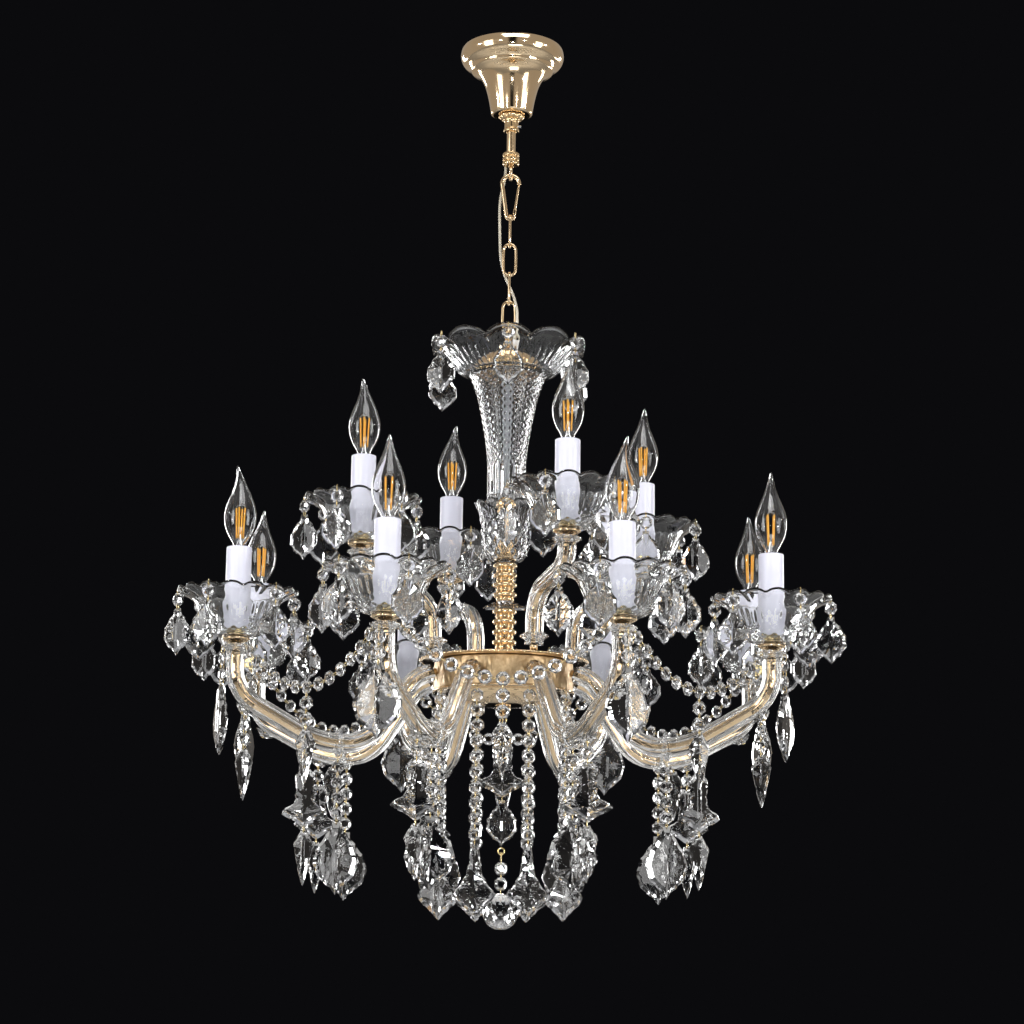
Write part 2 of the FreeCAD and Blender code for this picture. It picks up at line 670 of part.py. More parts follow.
def baluster(label, top, tall, discs):
    """Turned metal tube with evenly spaced discs; it stands round the rod between two glass pieces."""
    wide, neck = size("disc_radius"), size("neck_radius")
    pitch = tall * (1 / discs)
    profile = [(rod_hole, top)]
    for k in range(discs):
        start = top - pitch * k
        profile += [(neck + 1, start), (wide, start - pitch * 0.12), (wide, start - pitch * 0.3),
                    (neck, start - pitch * 0.45), (neck, start - pitch * 0.86)]
    profile += [(neck + 2, top - tall), (rod_hole, top - tall)]
    return turned(label, profile)


def balusters():
    baluster("upper_baluster", upper_baluster_z, size("upper_baluster_tall"), UPPER_DISCS)
    baluster("lower_baluster", lower_baluster_z, size("lower_baluster_tall"), LOWER_DISCS)


def star_collar():
    wide = size("star_radius")
    plate = star_plate(wide, wide - 6, size("star_thick"), STAR_POINTS, rod_hole)
    place = Placement(Vector(0, 0, star_top_z - size("star_thick")), Turn())
    return group("star_collar", [plate], place)


# ---------------------------------------------------------------- hub
def hub_plate():
    wide = size("plate_radius")
    return turned("hub_plate", [(rod_hole, plate_top_z), (wide, plate_top_z), (wide, plate_foot_z),
                                (rod_hole, plate_foot_z)])


def hub_drum():
    """Pierced drum that the lower arms are screwed to; the wires are joined inside it."""
    wide, wall = size("drum_radius"), size("drum_wall")
    return turned("hub_drum", [(wide - wall, drum_top_z), (wide, drum_top_z), (wide, drum_foot_z),
                               (wide - wall, drum_foot_z)])


def hub_cover():
    """Bowl that closes the drum from below; the strands hang from its flange."""
    wall = size("flange_thick")
    wide, bowl = size("flange_radius"), size("bowl_radius")
    belly = (bowl - 12, bowl_foot_z + size("bowl_tall") * 0.22)
    return turned("hub_cover", [
        (bowl - wall, flange_top_z), (wide, flange_top_z), (wide, flange_foot_z), (bowl, flange_foot_z),
        (16, bowl_foot_z, belly), (rod_hole, bowl_foot_z), (rod_hole, bowl_foot_z + wall),
        (16, bowl_foot_z + wall)])


def hub_eye():
    """Nut with an eye that ends the rod and carries the centre drop."""
    ring = upright_ring("eye_ring", EYE_RADIUS, EYE_WIRE, eye_ring_z)
    boss = cylinder("eye_boss", size("boss_radius"), EYE_BOSS_TALL, (0, 0, eye_top_z - EYE_BOSS_TALL))
    bore = cylinder("eye_thread", rod_hole, 5, (0, 0, eye_top_z - 4.5))
    return named("hub_eye", cut_from("hub_eye", joined("hub_eye_blank", ring, boss), bore))


# ---------------------------------------------------------------- arms
def lower_corners():
    """Corner points (reach, height) of a lower arm's middle line, from the drum to the cup."""
    reach, end, low = size("lower_reach"), lower_end_z, -size("lower_low_drop")
    start = size("drum_radius") + size("core_radius") * 0.5
    return [(start, drum_top_z - 14), (start + 24, drum_top_z - 22), (reach * 0.52, low),
            (reach * 0.698, low), (reach, low + 48), (reach, end)]


def upper_corners():
    """Corner points of an upper arm's middle line, from the hub's plate to the cup."""
    reach, end, foot = size("upper_reach"), upper_end_z, size("upper_foot_reach")
    return [(foot, plate_top_z + seat), (foot + 3, end - 54), (reach, end - 35), (reach, end)]


def arm_line(corners):
    """The corners as points in the XZ plane."""
    return [(float(reach), 0.0, float(height)) for reach, height in corners]


def hollow_arm(corners, outer, inner, cut_in=0.0, cut_out=0.0):
    line = arm_line(corners)
    return swept(line, outer, cut_in, cut_out).cut(swept(line, inner, cut_in, cut_out))


def stud_into_light(reach, end):
    """The arm's threaded end, which passes up through its seat and bobeche into the lampholder."""
    tall = size("holder_base") + 6
    return Part.makeCylinder(size("core_radius"), tall, Vector(reach, 0, end)).cut(
        Part.makeCylinder(size("core_bore"), tall, Vector(reach, 0, end)))


CASING_START = 6        # bare core between the hub and the glass
CASING_GAP = 1          # between the glass and the collar under the cup


def arms():
    core, bore = size("core_radius"), size("core_bore")
    glass, lead = size("glass_radius"), size("lead_radius")
    room = core + size("thread_gap")
    below_end = size("seat_tall") + seat + size("collar_star_thick")
    leads = []
    tiers = (("lower", lower_corners(), LOWER_ANGLES), ("upper", upper_corners(), UPPER_ANGLES))
    for tier, corners, angles in tiers:
        reach, end = corners[-1]
        tube = hollow_arm(corners, core, bore).fuse(stud_into_light(reach, end)).removeSplitter()
        group(tier + "_arm_tubes", copies_round(tube, angles))
        casing = hollow_arm(corners, glass, room, CASING_START, below_end + CASING_GAP)
        group(tier + "_arm_glass", copies_round(casing, angles))
        leads += copies_round(swept(arm_line(corners), lead, 0.5, 0.5), angles)
    return group("lamp_leads", leads)


COLLAR_POINTS = 16      # one of them faces each neighbouring arm, and a swag is tied there
LOW_SHARE = 0.61        # where the lowest collar and strand sit, as a share of the lower arm's reach
ROSETTE_SHARES = (0.94, 0.72)
ROSETTE_LIFT = 0.9      # from the glass to the back of a flower
PIN_BACK = 0.6          # how far a pin reaches back from the flower, and how far it stands out in front
PIN_FRONT = 1.4


def on_arm(corners, reach):
    """Point and direction of the arm's middle line where it passes a given reach from the axis."""
    wire, radii = rounded_route(arm_line(corners))
    points = wire.discretize(400)
    here = min(range(1, len(points) - 1), key=lambda k: abs(points[k].x - reach))
    return points[here], (points[here + 1] - points[here - 1]).normalize()


def arm_collars():
    """Ruffled glass collars threaded on the arms: at each inner end and under each cup."""
    wide, thick = size("collar_star_radius"), size("collar_star_thick")
    inner = star_plate(wide, wide - 2, thick, COLLAR_POINTS, size("glass_radius") + size("seat_gap"))
    outer = star_plate(wide, wide - 2, thick, COLLAR_POINTS, size("core_radius") + size("thread_gap"))
    collars = []
    for corners, angles in ((lower_corners(), LOWER_ANGLES), (upper_corners(), UPPER_ANGLES)):
        reach, end = corners[-1]
        under_cup = outer.copy()
        height = end - size("seat_tall") - seat - thick
        under_cup.Placement = Placement(Vector(reach, 0, height), Turn())
        collars += copies_round(under_cup, angles)
    low_place = inner.copy()
    spot, along = on_arm(lower_corners(), size("lower_reach") * LOW_SHARE)
    low_place.Placement = Placement(spot - along * float(thick / 2), Turn(UP, along))
    foot_place = inner.copy()
    foot_place.Placement = Placement(
        Vector(size("upper_foot_reach") + 0.6, 0, plate_top_z + size("upper_collar_lift")), Turn())
    collars += copies_round(low_place, LOWER_ANGLES) + copies_round(foot_place, UPPER_ANGLES)
    return group("arm_collars", collars)


def rosettes():
    """Cut crystal flowers pinned on the outside of each lower arm, under the cup and at the low point."""
    flower = star_plate(size("rosette_radius"), size("rosette_radius") - 3, size("rosette_thick"), 8,
                        size("rosette_pin_radius") + seat)
    pin = Part.makeCylinder(size("rosette_pin_radius"), size("rosette_thick") + PIN_BACK + PIN_FRONT,
                            Vector(0, 0, -PIN_BACK))
    corners = lower_corners()
    flowers, pins = [], []
    for share in ROSETTE_SHARES:
        spot, along = on_arm(corners, size("lower_reach") * share)
        below = Vector(along.z, 0, -along.x)
        seat_on_glass = spot + below * float(size("glass_radius") + ROSETTE_LIFT)
        place = Placement(seat_on_glass, Turn(UP, below))
        for solid, found in ((flower, flowers), (pin, pins)):
            item = solid.copy()
            item.Placement = place
            found += copies_round(item, LOWER_ANGLES)
    group("rosettes", flowers)
    return group("rosette_pins", pins)


# ---------------------------------------------------------------- candle lights
def light_places():
    """Where each light stands: (reach, angle, height of the arm's end)."""
    return ([(size("lower_reach"), angle, lower_end_z) for angle in LOWER_ANGLES],
            [(size("upper_reach"), angle, upper_end_z) for angle in UPPER_ANGLES])


def at_lights(solid, places):
    return [copy for reach, angle, end in places for copy in copies_round(solid, [angle], reach, end)]


def bobeche_solid():
    """Glass drip cup with a flared bowl and a flat lip, drawn round Z with the arm's end at height 0."""
    wall, rim, foot = size("bobeche_wall"), size("bobeche_radius"), size("bobeche_foot_radius")
    low, hole = seat, size("core_radius") + size("thread_gap")
    top = low + size("bobeche_tall")
    hip = (foot + 17, low + size("bobeche_tall") * 0.33)
    flare = (rim - 16, top - wall - 13)
    return revolved([
        (hole, low), (foot, low), (hip[0], hip[1], (foot + 11, low + 7)), (rim - 6, top - wall, flare),
        (rim, top - wall), (rim, top), (rim - 7.5, top),
        (hip[0] - wall, hip[1] + 1, (flare[0] - wall * 0.7, flare[1] + wall * 0.8)),
        (foot - 1, low + wall, (foot + 9, low + 8.6)), (hole, low + wall)])


def candle_lights():
    """The pieces that stand on each arm's end: seat, bobeche, nut, lampholder, candle sleeve and bulb."""
    lower, upper = light_places()
    hole = size("core_radius") + size("thread_gap")
    seat_wide, base = size("seat_radius"), size("holder_base")
    floor = seat + size("bobeche_wall")
    saucer_foot = -size("seat_tall")
    saucer = revolved([(hole, saucer_foot), (hole + 4, saucer_foot), (seat_wide, -2), (seat_wide, 0),
                       (hole, 0)])
    group("arm_seats", at_lights(saucer, lower + upper))
    group("lower_bobeches", at_lights(bobeche_solid(), lower))
    group("upper_bobeches", at_lights(bobeche_solid(), upper))
    nut_wide = size("cup_nut_radius")
    nut = star_plate(nut_wide, nut_wide - 1.2, base - floor - seat * 2, 6, hole)
    nut.translate(Vector(0, 0, floor + seat))
    group("bobeche_nuts", at_lights(nut, lower + upper))
    holder_top, cap_hole = base + size("holder_tall"), size("bulb_cap_radius") + size("running_gap")
    holder = revolved([(hole, base), (size("holder_radius"), base), (size("holder_radius"), holder_top),
                       (cap_hole, holder_top), (cap_hole, holder_top - size("socket_depth") - 0.6),
                       (hole, holder_top - size("socket_depth") - 0.6)])
    group("lampholders", at_lights(holder, lower + upper))
    inside, outside = size("holder_radius") + seat, size("sleeve_radius")
    sleeve_top = base + size("sleeve_tall")
    sleeve = revolved([(inside, base), (outside, base), (outside, sleeve_top), (inside, sleeve_top)])
    group("candle_sleeves", at_lights(sleeve, lower + upper))
    return group("bulbs", at_lights(bulb_solid(holder_top), lower + upper))


def bulb_solid(holder_top):
    """Flame-shaped bulb: screw cap in the lampholder, thin clear envelope above the sleeve."""
    cap, wide = size("bulb_cap_radius"), size("bulb_radius")
    tall, wall = size("bulb_tall"), size("bulb_wall")
    low, neck = holder_top - size("socket_depth"), holder_top + 2
    full, tip = neck + tall * 0.36, neck + tall
    return revolved([
        (0, low), (cap - 3, low), (cap, low + 4), (cap, neck), (wide, full, (cap + 8.4, neck + 12)),
        (wide - 9.5, full + tall * 0.36, (wide - 2.4, full + tall * 0.2)), (1.6, tip), (0, tip),
        (0, tip - 4), (wide - 10.5, full + tall * 0.34),
        (wide - wall, full, (wide - 3.4, full + tall * 0.19)),
        (cap - wall, neck + 2, (cap + 7.4, neck + 13)), (0, neck + 2)])


# ---------------------------------------------------------------- trimmings
BEAD = [(0.21, 0), (0.5, 0.29), (0.5, 0.71), (0.21, 1)]
ALMOND = [(0.1, 0), (0.2, 0.14), (0.38, 0.3), (0.5, 0.58), (0.36, 0.8), (0, 1)]
KITE = [(0.07, 0), (0.16, 0.33), (0.3, 0.55), (0.5, 0.7), (0.3, 0.83), (0, 1)]
PLAQUE = [(0.1, 0), (0.22, 0.2), (0.2, 0.62), (0.5, 0.74), (0.2, 0.9), (0, 1)]
SPEAR = [(0.14, 0), (0.5, 0.24), (0.2, 0.8), (0, 1)]

gap = float(seat)
SWAG_SLACK = 0.5        # extra room between a swag's beads, so that they can turn on the curve
SWAG_CLEAR = 0.9        # from a collar's edge to the middle of the clip tied beside it
STRAND_CLEAR = 0.7      # from the glass of an arm to the strand that hangs past it
FRONT = -90.0           # the side that the photograph shows
OUTWARD = 0.35          # how far a free stone turns from the front to its own side
LEFT_RIM = (-22.5, -67.5, -112.5, 180, 112.5, 45)       # drops round a drip cup, left out before its candle
clip_step = float(size("clip_tall")) + 2 * gap


def trim_stone(label, outline, wide, tall, thick):
    return label, stone(scaled_outline(outline, float(wide), float(tall)), float(thick)), float(tall)


def trimmings():
    """Every hanging stone and the clips between them, collected by kind and written as groups."""
    thick = size("stone_thick")
    bead_across = size("bead_width")
    rim_bead = trim_stone("rim_beads", BEAD, bead_across, bead_across, size("bead_thick"))
    strand_bead = ("strand_beads",) + rim_bead[1:]
    rim_drop = trim_stone("rim_drops", ALMOND, size("rim_drop_wide"), size("rim_drop_tall"), thick)
    large_drop = trim_stone("large_drops", ALMOND, size("large_drop_wide"), size("large_drop_tall"), thick)
    kite = trim_stone("hub_kites", KITE, size("kite_wide"), size("kite_tall"), thick)
    plaque = trim_stone("plaques", PLAQUE, size("plaque_wide"), size("plaque_tall"), thick)
    spear = trim_stone("spears", SPEAR, size("spear_wide"), size("spear_tall"), thick)
    found = {}
    lip = seat + size("bobeche_tall") - size("bobeche_wall")
    lip_reach = float(size("bobeche_radius") - 2.2)
    for reach, angle, end in sum(light_places(), []):
        centre = polar(reach, angle, 0)
        side = 1 if centre.x < 0 else -1
        for turn in LEFT_RIM:
            spot = centre + polar(lip_reach, angle + side * turn, end + lip)
            hang(found, spot, nearly_front(angle + side * turn), [rim_bead, rim_drop])
    crown_lip = polar(size("dish_radius") - 2.5, 0, dish_rim_z - size("dish_wall"))
    for k in range(6):
        angle = 60 * k + 30
        hang(found, polar(crown_lip.x, angle, crown_lip.z), nearly_front(angle), [rim_bead, rim_drop])
    cup_foot = lower_end_z - size("seat_tall") - seat - size("collar_star_thick")
    middle_spot, middle_along = on_arm(lower_corners(), size("lower_reach") * LOW_SHARE)
    pin_spot, pin_along = on_arm(lower_corners(), size("lower_reach") * ROSETTE_SHARES[1])
    pin_out = size("glass_radius") + ROSETTE_LIFT + size("rosette_thick") + PIN_FRONT
    pin_end = pin_spot + Vector(pin_along.z, 0, -pin_along.x) * float(pin_out - size("rosette_pin_radius"))
    pin_low = pin_end.z - size("rosette_pin_radius") * pin_along.x
    for angle in LOWER_ANGLES:
        past_glass = size("glass_radius") + size("bead_thick") * 0.5 + STRAND_CLEAR
        outer = polar(size("lower_reach") + past_glass, angle, cup_foot)
        hang(found, outer, angle, [strand_bead, strand_bead, large_drop])
        under = middle_spot.z - size("collar_star_radius")
        facing = nearly_front(angle)
        hang(found, polar(middle_spot.x, angle, under), facing, [strand_bead] * 4 + [large_drop])
        hang(found, polar(pin_end.x, angle, pin_low), facing, [strand_bead, plaque, spear])
        hang(found, polar(size("strand_radius"), angle, flange_foot_z), facing, [strand_bead] * 10 + [kite])
    swag_bead = rim_bead[1]
    for angle in LOWER_ANGLES:
        start = swag_end(angle, 1, cup_foot)
        finish = swag_end(angle + 360 / LOWER_ARMS, -1, cup_foot)
        lowest = swag(found, start, finish, size("swag_sag"), swag_bead)
        facing = nearly_front(angle + 180 / LOWER_ARMS)
        hang(found, lowest, facing, [strand_bead, strand_bead, spear])
    for label, solids in found.items():
        group(label, solids)


def nearly_front(angle):
    """The way a free stone looks: to the front or back, turned part of the way to its own side."""
    from_front = (angle - FRONT + 90) % 180 - 90
    return FRONT + OUTWARD * from_front


def swag_end(angle, side, height):
    """Where a swag is tied: beside the collar under a cup, on the side that faces the next arm."""
    across = math.radians(angle + side * 112.5)
    reach = float(size("collar_star_radius")) + SWAG_CLEAR
    middle = polar(size("lower_reach"), angle, height + size("collar_star_thick") * 0.5)
    return middle + Vector(math.cos(across), math.sin(across), 0) * reach


def clip_solid():
    return Part.makeCylinder(size("clip_radius"), size("clip_tall"), Vector(0, 0, -size("clip_tall")))


def put(found, label, solid, place):
    item = solid.copy()
    item.Placement = place
    found.setdefault(label, []).append(item)


def hang(found, top, angle, chain):
    """Hang a chain of stones straight down from a point, facing out at an angle round the Z axis."""
    facing = Turn(UP, angle + 90)
    height = top.z
    for label, solid, tall in chain:
        put(found, "trim_clips", clip_solid(), Placement(Vector(top.x, top.y, height - gap), facing))
        height -= clip_step
        put(found, label, solid, Placement(Vector(top.x, top.y, height), facing))
        height -= tall
    return height


def swag(found, start, finish, sag, bead):
    """A sagging string of beads between two points, on a parabola, with a clip between every two beads."""
    points = []
    steps = 200
    for k in range(steps + 1):
        share = k / steps
        points.append(start + (finish - start) * share - UP * float(4 * sag * share * (1 - share)))
    lengths = [0.0]
    for before, after in zip(points, points[1:]):
        lengths.append(lengths[-1] + (after - before).Length)

    def at(distance):
        index = next((k for k, value in enumerate(lengths) if value >= distance and k), steps)
        along = (points[index] - points[index - 1]).normalize()
        return points[index] + along * (distance - lengths[index]), along

    across = float(size("bead_width"))
    beads = int(lengths[-1] / (across + clip_step + SWAG_SLACK))
    pitch = lengths[-1] / beads
    clip_tall = pitch - across - 2 * gap - SWAG_SLACK
    sideways = UP.cross(finish - start).normalize()
    lowest = points[0]
    for k in range(beads):
        middle, along = at(pitch * (k + 0.5))
        facing = Turn(Vector(0, 0, 0), sideways, along * -1, "ZYX")
        put(found, "swag_beads", bead, Placement(middle - along * (across / 2), facing))
        if middle.z < lowest.z:
            lowest = middle
    for k in range(beads + 1):
        middle, along = at(pitch * k)
        tall, back = (clip_tall, 0.5) if 0 < k < beads else (clip_tall / 2, 0.0 if k == 0 else 1.0)
        shift = {0: gap, beads: -gap}.get(k, 0.0)
        clip = Part.makeCylinder(size("clip_radius"), tall)
        start_of_clip = middle + along * (shift - tall * back)
        put(found, "trim_clips", clip, Placement(start_of_clip, Turn(UP, along)))
    return lowest - UP * (across / 2)


def centre_drop():
    """The drop under the hub: bead, winged plaque and almond on one line, then the ball on its chain."""
    ring_radius, ring_wire = float(size("ring_radius")), float(size("ring_wire"))
    eye_low = eye_ring_z - EYE_RADIUS
    ring_z = eye_low + EYE_WIRE + ring_wire + seat - ring_radius
    found = {}
    put(found, "trim_clips", Part.makeTorus(ring_radius, ring_wire),
        Placement(Vector(0, 0, ring_z), Turn(Vector(1, 0, 0), 90)))
    thick = size("stone_thick")
    bead = trim_stone("stones", BEAD, size("bead_width"), size("bead_width"), size("bead_thick"))
    plaque = trim_stone("stones", PLAQUE, size("plaque_wide"), size("plaque_tall"), thick)
    almond = trim_stone("stones", ALMOND, size("rim_drop_wide"), size("rim_drop_tall"), thick)
    foot = hang(found, Vector(0, 0, ring_z - ring_radius - ring_wire), FRONT, [bead, plaque, almond])
    low_ring_z = foot - gap - ring_wire - ring_radius
    put(found, "trim_clips", Part.makeTorus(ring_radius, ring_wire),
        Placement(Vector(0, 0, low_ring_z), Turn(Vector(1, 0, 0), 90)))
    group("centre_stones", found["stones"])
    group("centre_clips", found["trim_clips"])
    ball_ring_z = low_ring_z - ring_radius + ring_wire * 2 + seat - ring_radius
    chain = {}
    put(chain, "clips", Part.makeTorus(ring_radius, ring_wire),
        Placement(Vector(0, 0, ball_ring_z), Turn(Vector(0, 1, 0), 90)))
    foot = hang(chain, Vector(0, 0, ball_ring_z - ring_radius - ring_wire), FRONT, [bead, bead])
    put(chain, "trim_clips", clip_solid(), Placement(Vector(0, 0, foot - gap), Turn()))
    group("ball_chain", chain["clips"] + chain["trim_clips"] + chain["stones"])
    centre = foot - clip_step - size("ball_radius")
    heights = {"hook": loop_low_z, "link 1": hook_low_z, "crown": last_link_low_z, "eye": eye_low,
               "ball ring": low_ring_z - ring_radius, "ball centre": centre}
    print("joint heights:", {word: round(float(height), 2) for word, height in heights.items()})
    ball = doc.addObject("Part::Sphere", "bottom_ball")
    ball.setExpression("Radius", formula_of(size("ball_radius")))
    ball.Placement = Placement(Vector(0, 0, float(centre)), Turn())
    return named("bottom_ball", ball)


# ---------------------------------------------------------------- the whole object
for make in (ceiling_bracket, hanger_stem, stem_nut, terminal_block, hanger_ferrule, hanger_loop,
             canopy, canopy_collar, collar_screw, snap_hook, gate_rivet, hook_gate, chain_links,
             power_cable, cable_gland, crown_loop, crown_cap, crown_dish, crown_column, centre_rod,
             cup_spacer, glass_cup, balusters, star_collar, hub_plate, hub_drum, hub_cover, hub_eye,
             arms, arm_collars, rosettes, candle_lights, trimmings, centre_drop):
    make()
doc.recompute()

faults = [item.Name for item in doc.Objects if {"Invalid", "Error"} & set(item.State)]
for label, item in sub_parts.items():
    if item.Shape.isNull() or not item.Shape.isValid() or not item.Shape.Solids:
        faults.append(label)
if faults:
    raise RuntimeError("these objects failed: " + ", ".join(faults))

os.makedirs("parts", exist_ok=True)
for label, item in sub_parts.items():
    item.Shape.exportStep(f"parts/{label}.step")
print(len(sub_parts), "sub-parts,", sum(len(item.Shape.Solids) for item in sub_parts.values()), "solids")
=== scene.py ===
# %% [markdown]
# # A crystal chandelier, piece by piece
#
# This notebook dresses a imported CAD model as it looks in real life. The frame loads first: every piece
# built below goes where the CAD piece is, rides on the same moving body, and takes its place in the picture.

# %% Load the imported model
import math
import bpy
import numpy as np
from mathutils import Matrix


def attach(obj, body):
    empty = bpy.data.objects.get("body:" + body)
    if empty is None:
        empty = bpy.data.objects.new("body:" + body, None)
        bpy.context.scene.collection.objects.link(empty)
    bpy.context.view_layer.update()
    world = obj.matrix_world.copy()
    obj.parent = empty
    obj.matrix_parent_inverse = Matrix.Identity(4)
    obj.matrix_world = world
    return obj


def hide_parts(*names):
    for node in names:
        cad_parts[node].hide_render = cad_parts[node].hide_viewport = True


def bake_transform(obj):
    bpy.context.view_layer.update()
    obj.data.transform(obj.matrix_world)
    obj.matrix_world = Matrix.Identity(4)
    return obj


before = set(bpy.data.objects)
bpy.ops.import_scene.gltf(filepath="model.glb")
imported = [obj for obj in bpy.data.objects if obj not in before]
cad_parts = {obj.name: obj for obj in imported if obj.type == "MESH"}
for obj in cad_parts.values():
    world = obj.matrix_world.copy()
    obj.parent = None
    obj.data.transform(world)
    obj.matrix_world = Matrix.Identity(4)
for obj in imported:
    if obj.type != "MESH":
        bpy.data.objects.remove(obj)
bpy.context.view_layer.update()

MM = 0.001
TURN = 2 * np.pi
chance = np.random.default_rng(12)

# %% [markdown]
# ## The camera
#
# The picture was taken from the front, a little below the middle of the lamp and looking slightly up, with
# a long lens. The camera stands 2.75 m in front of the lamp's axis. A turn of less than one degree about
# the line of sight lets the lamp lean to the right at the top, as it does in the photograph.

# %% Put the camera in place
CAMERA_PLACE = (0.0067, -2.75, -1.103)      # metres
LOOKING_UP = math.radians(11.4)
LEAN = math.radians(0.78)

camera_data = bpy.data.cameras.new("camera")
camera_data.sensor_width = 36
camera_data.lens = 87.9
camera = bpy.data.objects.new("camera", camera_data)
bpy.context.scene.collection.objects.link(camera)
aim = Matrix.Rotation(math.pi / 2 + LOOKING_UP, 4, "X") @ Matrix.Rotation(LEAN, 4, "Z")
camera.matrix_world = Matrix.Translation(CAMERA_PLACE) @ aim
bpy.context.scene.camera = camera
print("the camera sees", round(math.degrees(camera_data.angle), 1), "degrees")

# %% [markdown]
# ## Small helpers for meshes
#
# A surface is a grid of points worked out by a formula. Two sides of the grid can be wrapped, which closes
# a ring or a wall. The functions work on whole arrays, in millimetres, and the mesh is filled in one go.

# %% Turn arrays into meshes
def grid_faces(rows, columns, wrap_rows=False, wrap_columns=True):
    """The four corner numbers of each face between neighbouring grid points. A wrapped side joins its last
    line of points to its first."""
    row = np.arange(rows if wrap_rows else rows - 1)[:, None]
    column = np.arange(columns if wrap_columns else columns - 1)[None, :]
    next_row, next_column = (row + 1) % rows, (column + 1) % columns
    corners = (row * columns + column, row * columns + next_column,
               next_row * columns + next_column, next_row * columns + column)
    return np.stack(np.broadcast_arrays(*corners), axis=-1).reshape(-1, 4)


def mesh_from(name, points, faces):
    """A mesh from points in millimetres and a list of face arrays, each with one number of corners."""
    mesh = bpy.data.meshes.new(name)
    corners = np.concatenate([group.ravel() for group in faces]).astype(np.int32)
    counts = np.concatenate([np.full(len(group), group.shape[1]) for group in faces])
    starts = np.concatenate([[0], np.cumsum(counts)[:-1]]).astype(np.int32)
    mesh.vertices.add(len(points))
    mesh.vertices.foreach_set("co", (np.asarray(points, float) * MM).ravel())
    mesh.loops.add(len(corners))
    mesh.loops.foreach_set("vertex_index", corners)
    mesh.polygons.add(len(counts))
    mesh.polygons.foreach_set("loop_start", starts)
    mesh.update(calc_edges=True)
    mesh.validate()
    return mesh


def make_piece(name, shape, material, body="frame", stands_for=(), smooth=True):
    """One object of the scene from (points, faces). It rides on a body, unless that is None, and it may
    stand for CAD nodes."""
    mesh = mesh_from(name, *shape)
    mesh.polygons.foreach_set("use_smooth", np.full(len(mesh.polygons), smooth))
    mesh.materials.append(material)
    piece = bpy.data.objects.new(name, mesh)
    bpy.context.scene.collection.objects.link(piece)
    if body:
        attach(piece, body)
    if stands_for:
        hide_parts(*stands_for)
    print(name, len(mesh.vertices), "points,", len(mesh.polygons), "faces")
    return piece


# %% Shapes that any piece can use
def curve_through(points, steps=8):
    """A smooth line through some points. Between two of them it is the cubic whose slope at each end is
    that of the line from the point before to the point after (Catmull-Rom)."""
    known = np.asarray(points, float)
    padded = np.vstack([2 * known[0] - known[1], known, 2 * known[-1] - known[-2]])
    t = np.linspace(0, 1, steps, endpoint=False)[None, :, None]
    a, b, c, d = (padded[k:len(padded) - 3 + k, None, :] for k in range(4))
    line = 0.5 * (2 * b + (c - a) * t + (2 * a - 5 * b + 4 * c - d) * t ** 2
                  + (3 * b - a - 3 * c + d) * t ** 3)
    return np.vstack([line.reshape(-1, known.shape[1]), known[-1:]])


def turned(profile, columns=96, ripple=None):
    """A closed profile of (radius, height) points turned about Z. ripple(angle, radius, height, share) may
    shift the radius and height; share runs from 0 to 1 along the profile."""
    profile = np.asarray(profile, float)
    after = np.roll(profile, -1, axis=0)
    if np.sum(profile[:, 0] * after[:, 1] - after[:, 0] * profile[:, 1]) < 0:
        raise ValueError("the profile has to run up on its outside")
    angle = TURN * np.arange(columns)[None, :] / columns
    radius, height = (np.repeat(profile[:, k:k + 1], columns, axis=1) for k in (0, 1))
    if ripple:
        share = np.linspace(0, 1, len(profile))[:, None]
        radius, height = ripple(angle, radius, height, share)
    points = np.stack([radius * np.cos(angle), radius * np.sin(angle), height], axis=-1)
    return points.reshape(-1, 3), [grid_faces(len(profile), columns, wrap_rows=True)]


def unit(vectors):
    """Each vector divided by its length."""
    return vectors / np.linalg.norm(vectors, axis=-1, keepdims=True)


def rings_along(path, radius, sides, side, closed=False):
    """A ring of points round each point of a line, set across its direction. side is a direction that the
    line never takes; radius is one number, or an array for each ring and each of its points."""
    path = np.asarray(path, float)
    ahead = np.roll(path, -1, axis=0) - np.roll(path, 1, axis=0)
    if not closed:
        ahead[0], ahead[-1] = path[1] - path[0], path[-1] - path[-2]
    ahead = unit(ahead)
    side = np.asarray(side, float)
    across = unit(side - (ahead @ side)[:, None] * ahead)
    outward = np.cross(across, ahead)
    angle = TURN * np.arange(sides) / sides
    reach = np.broadcast_to(np.asarray(radius, float), (len(path), sides))[..., None]
    spokes = np.cos(angle)[None, :, None] * outward[:, None] + np.sin(angle)[None, :, None] * across[:, None]
    return path[:, None] + reach * spokes


def bar_along(path, radius, sides=16, side=(0, 1, 0), closed=False):
    """A bar along a line, with flat ends unless the line is closed."""
    rings = rings_along(path, radius, sides, side, closed)
    faces = [grid_faces(len(rings), sides, wrap_rows=closed)]
    if not closed:
        first = np.arange(sides)[None, ::-1]
        faces.append(np.concatenate([first, first[:, ::-1] + (len(rings) - 1) * sides]))
    return rings.reshape(-1, 3), faces


def pipe_along(path, outer, inner, sides=48, side=(0, 1, 0)):
    """A thick-walled pipe: rings out along the outside, back along the bore, and the ends close the wall."""
    rings = np.concatenate([rings_along(path, outer, sides, side),
                            rings_along(path, inner, sides, side)[::-1]])
    return rings.reshape(-1, 3), [grid_faces(len(rings), sides, wrap_rows=True)]


def together(*shapes):
    """Several shapes as one."""
    points, faces, count = [], [], 0
    for shape_points, shape_faces in shapes:
        points.append(shape_points)
        faces += [group + count for group in shape_faces]
        count += len(shape_points)
    return np.concatenate(points), faces


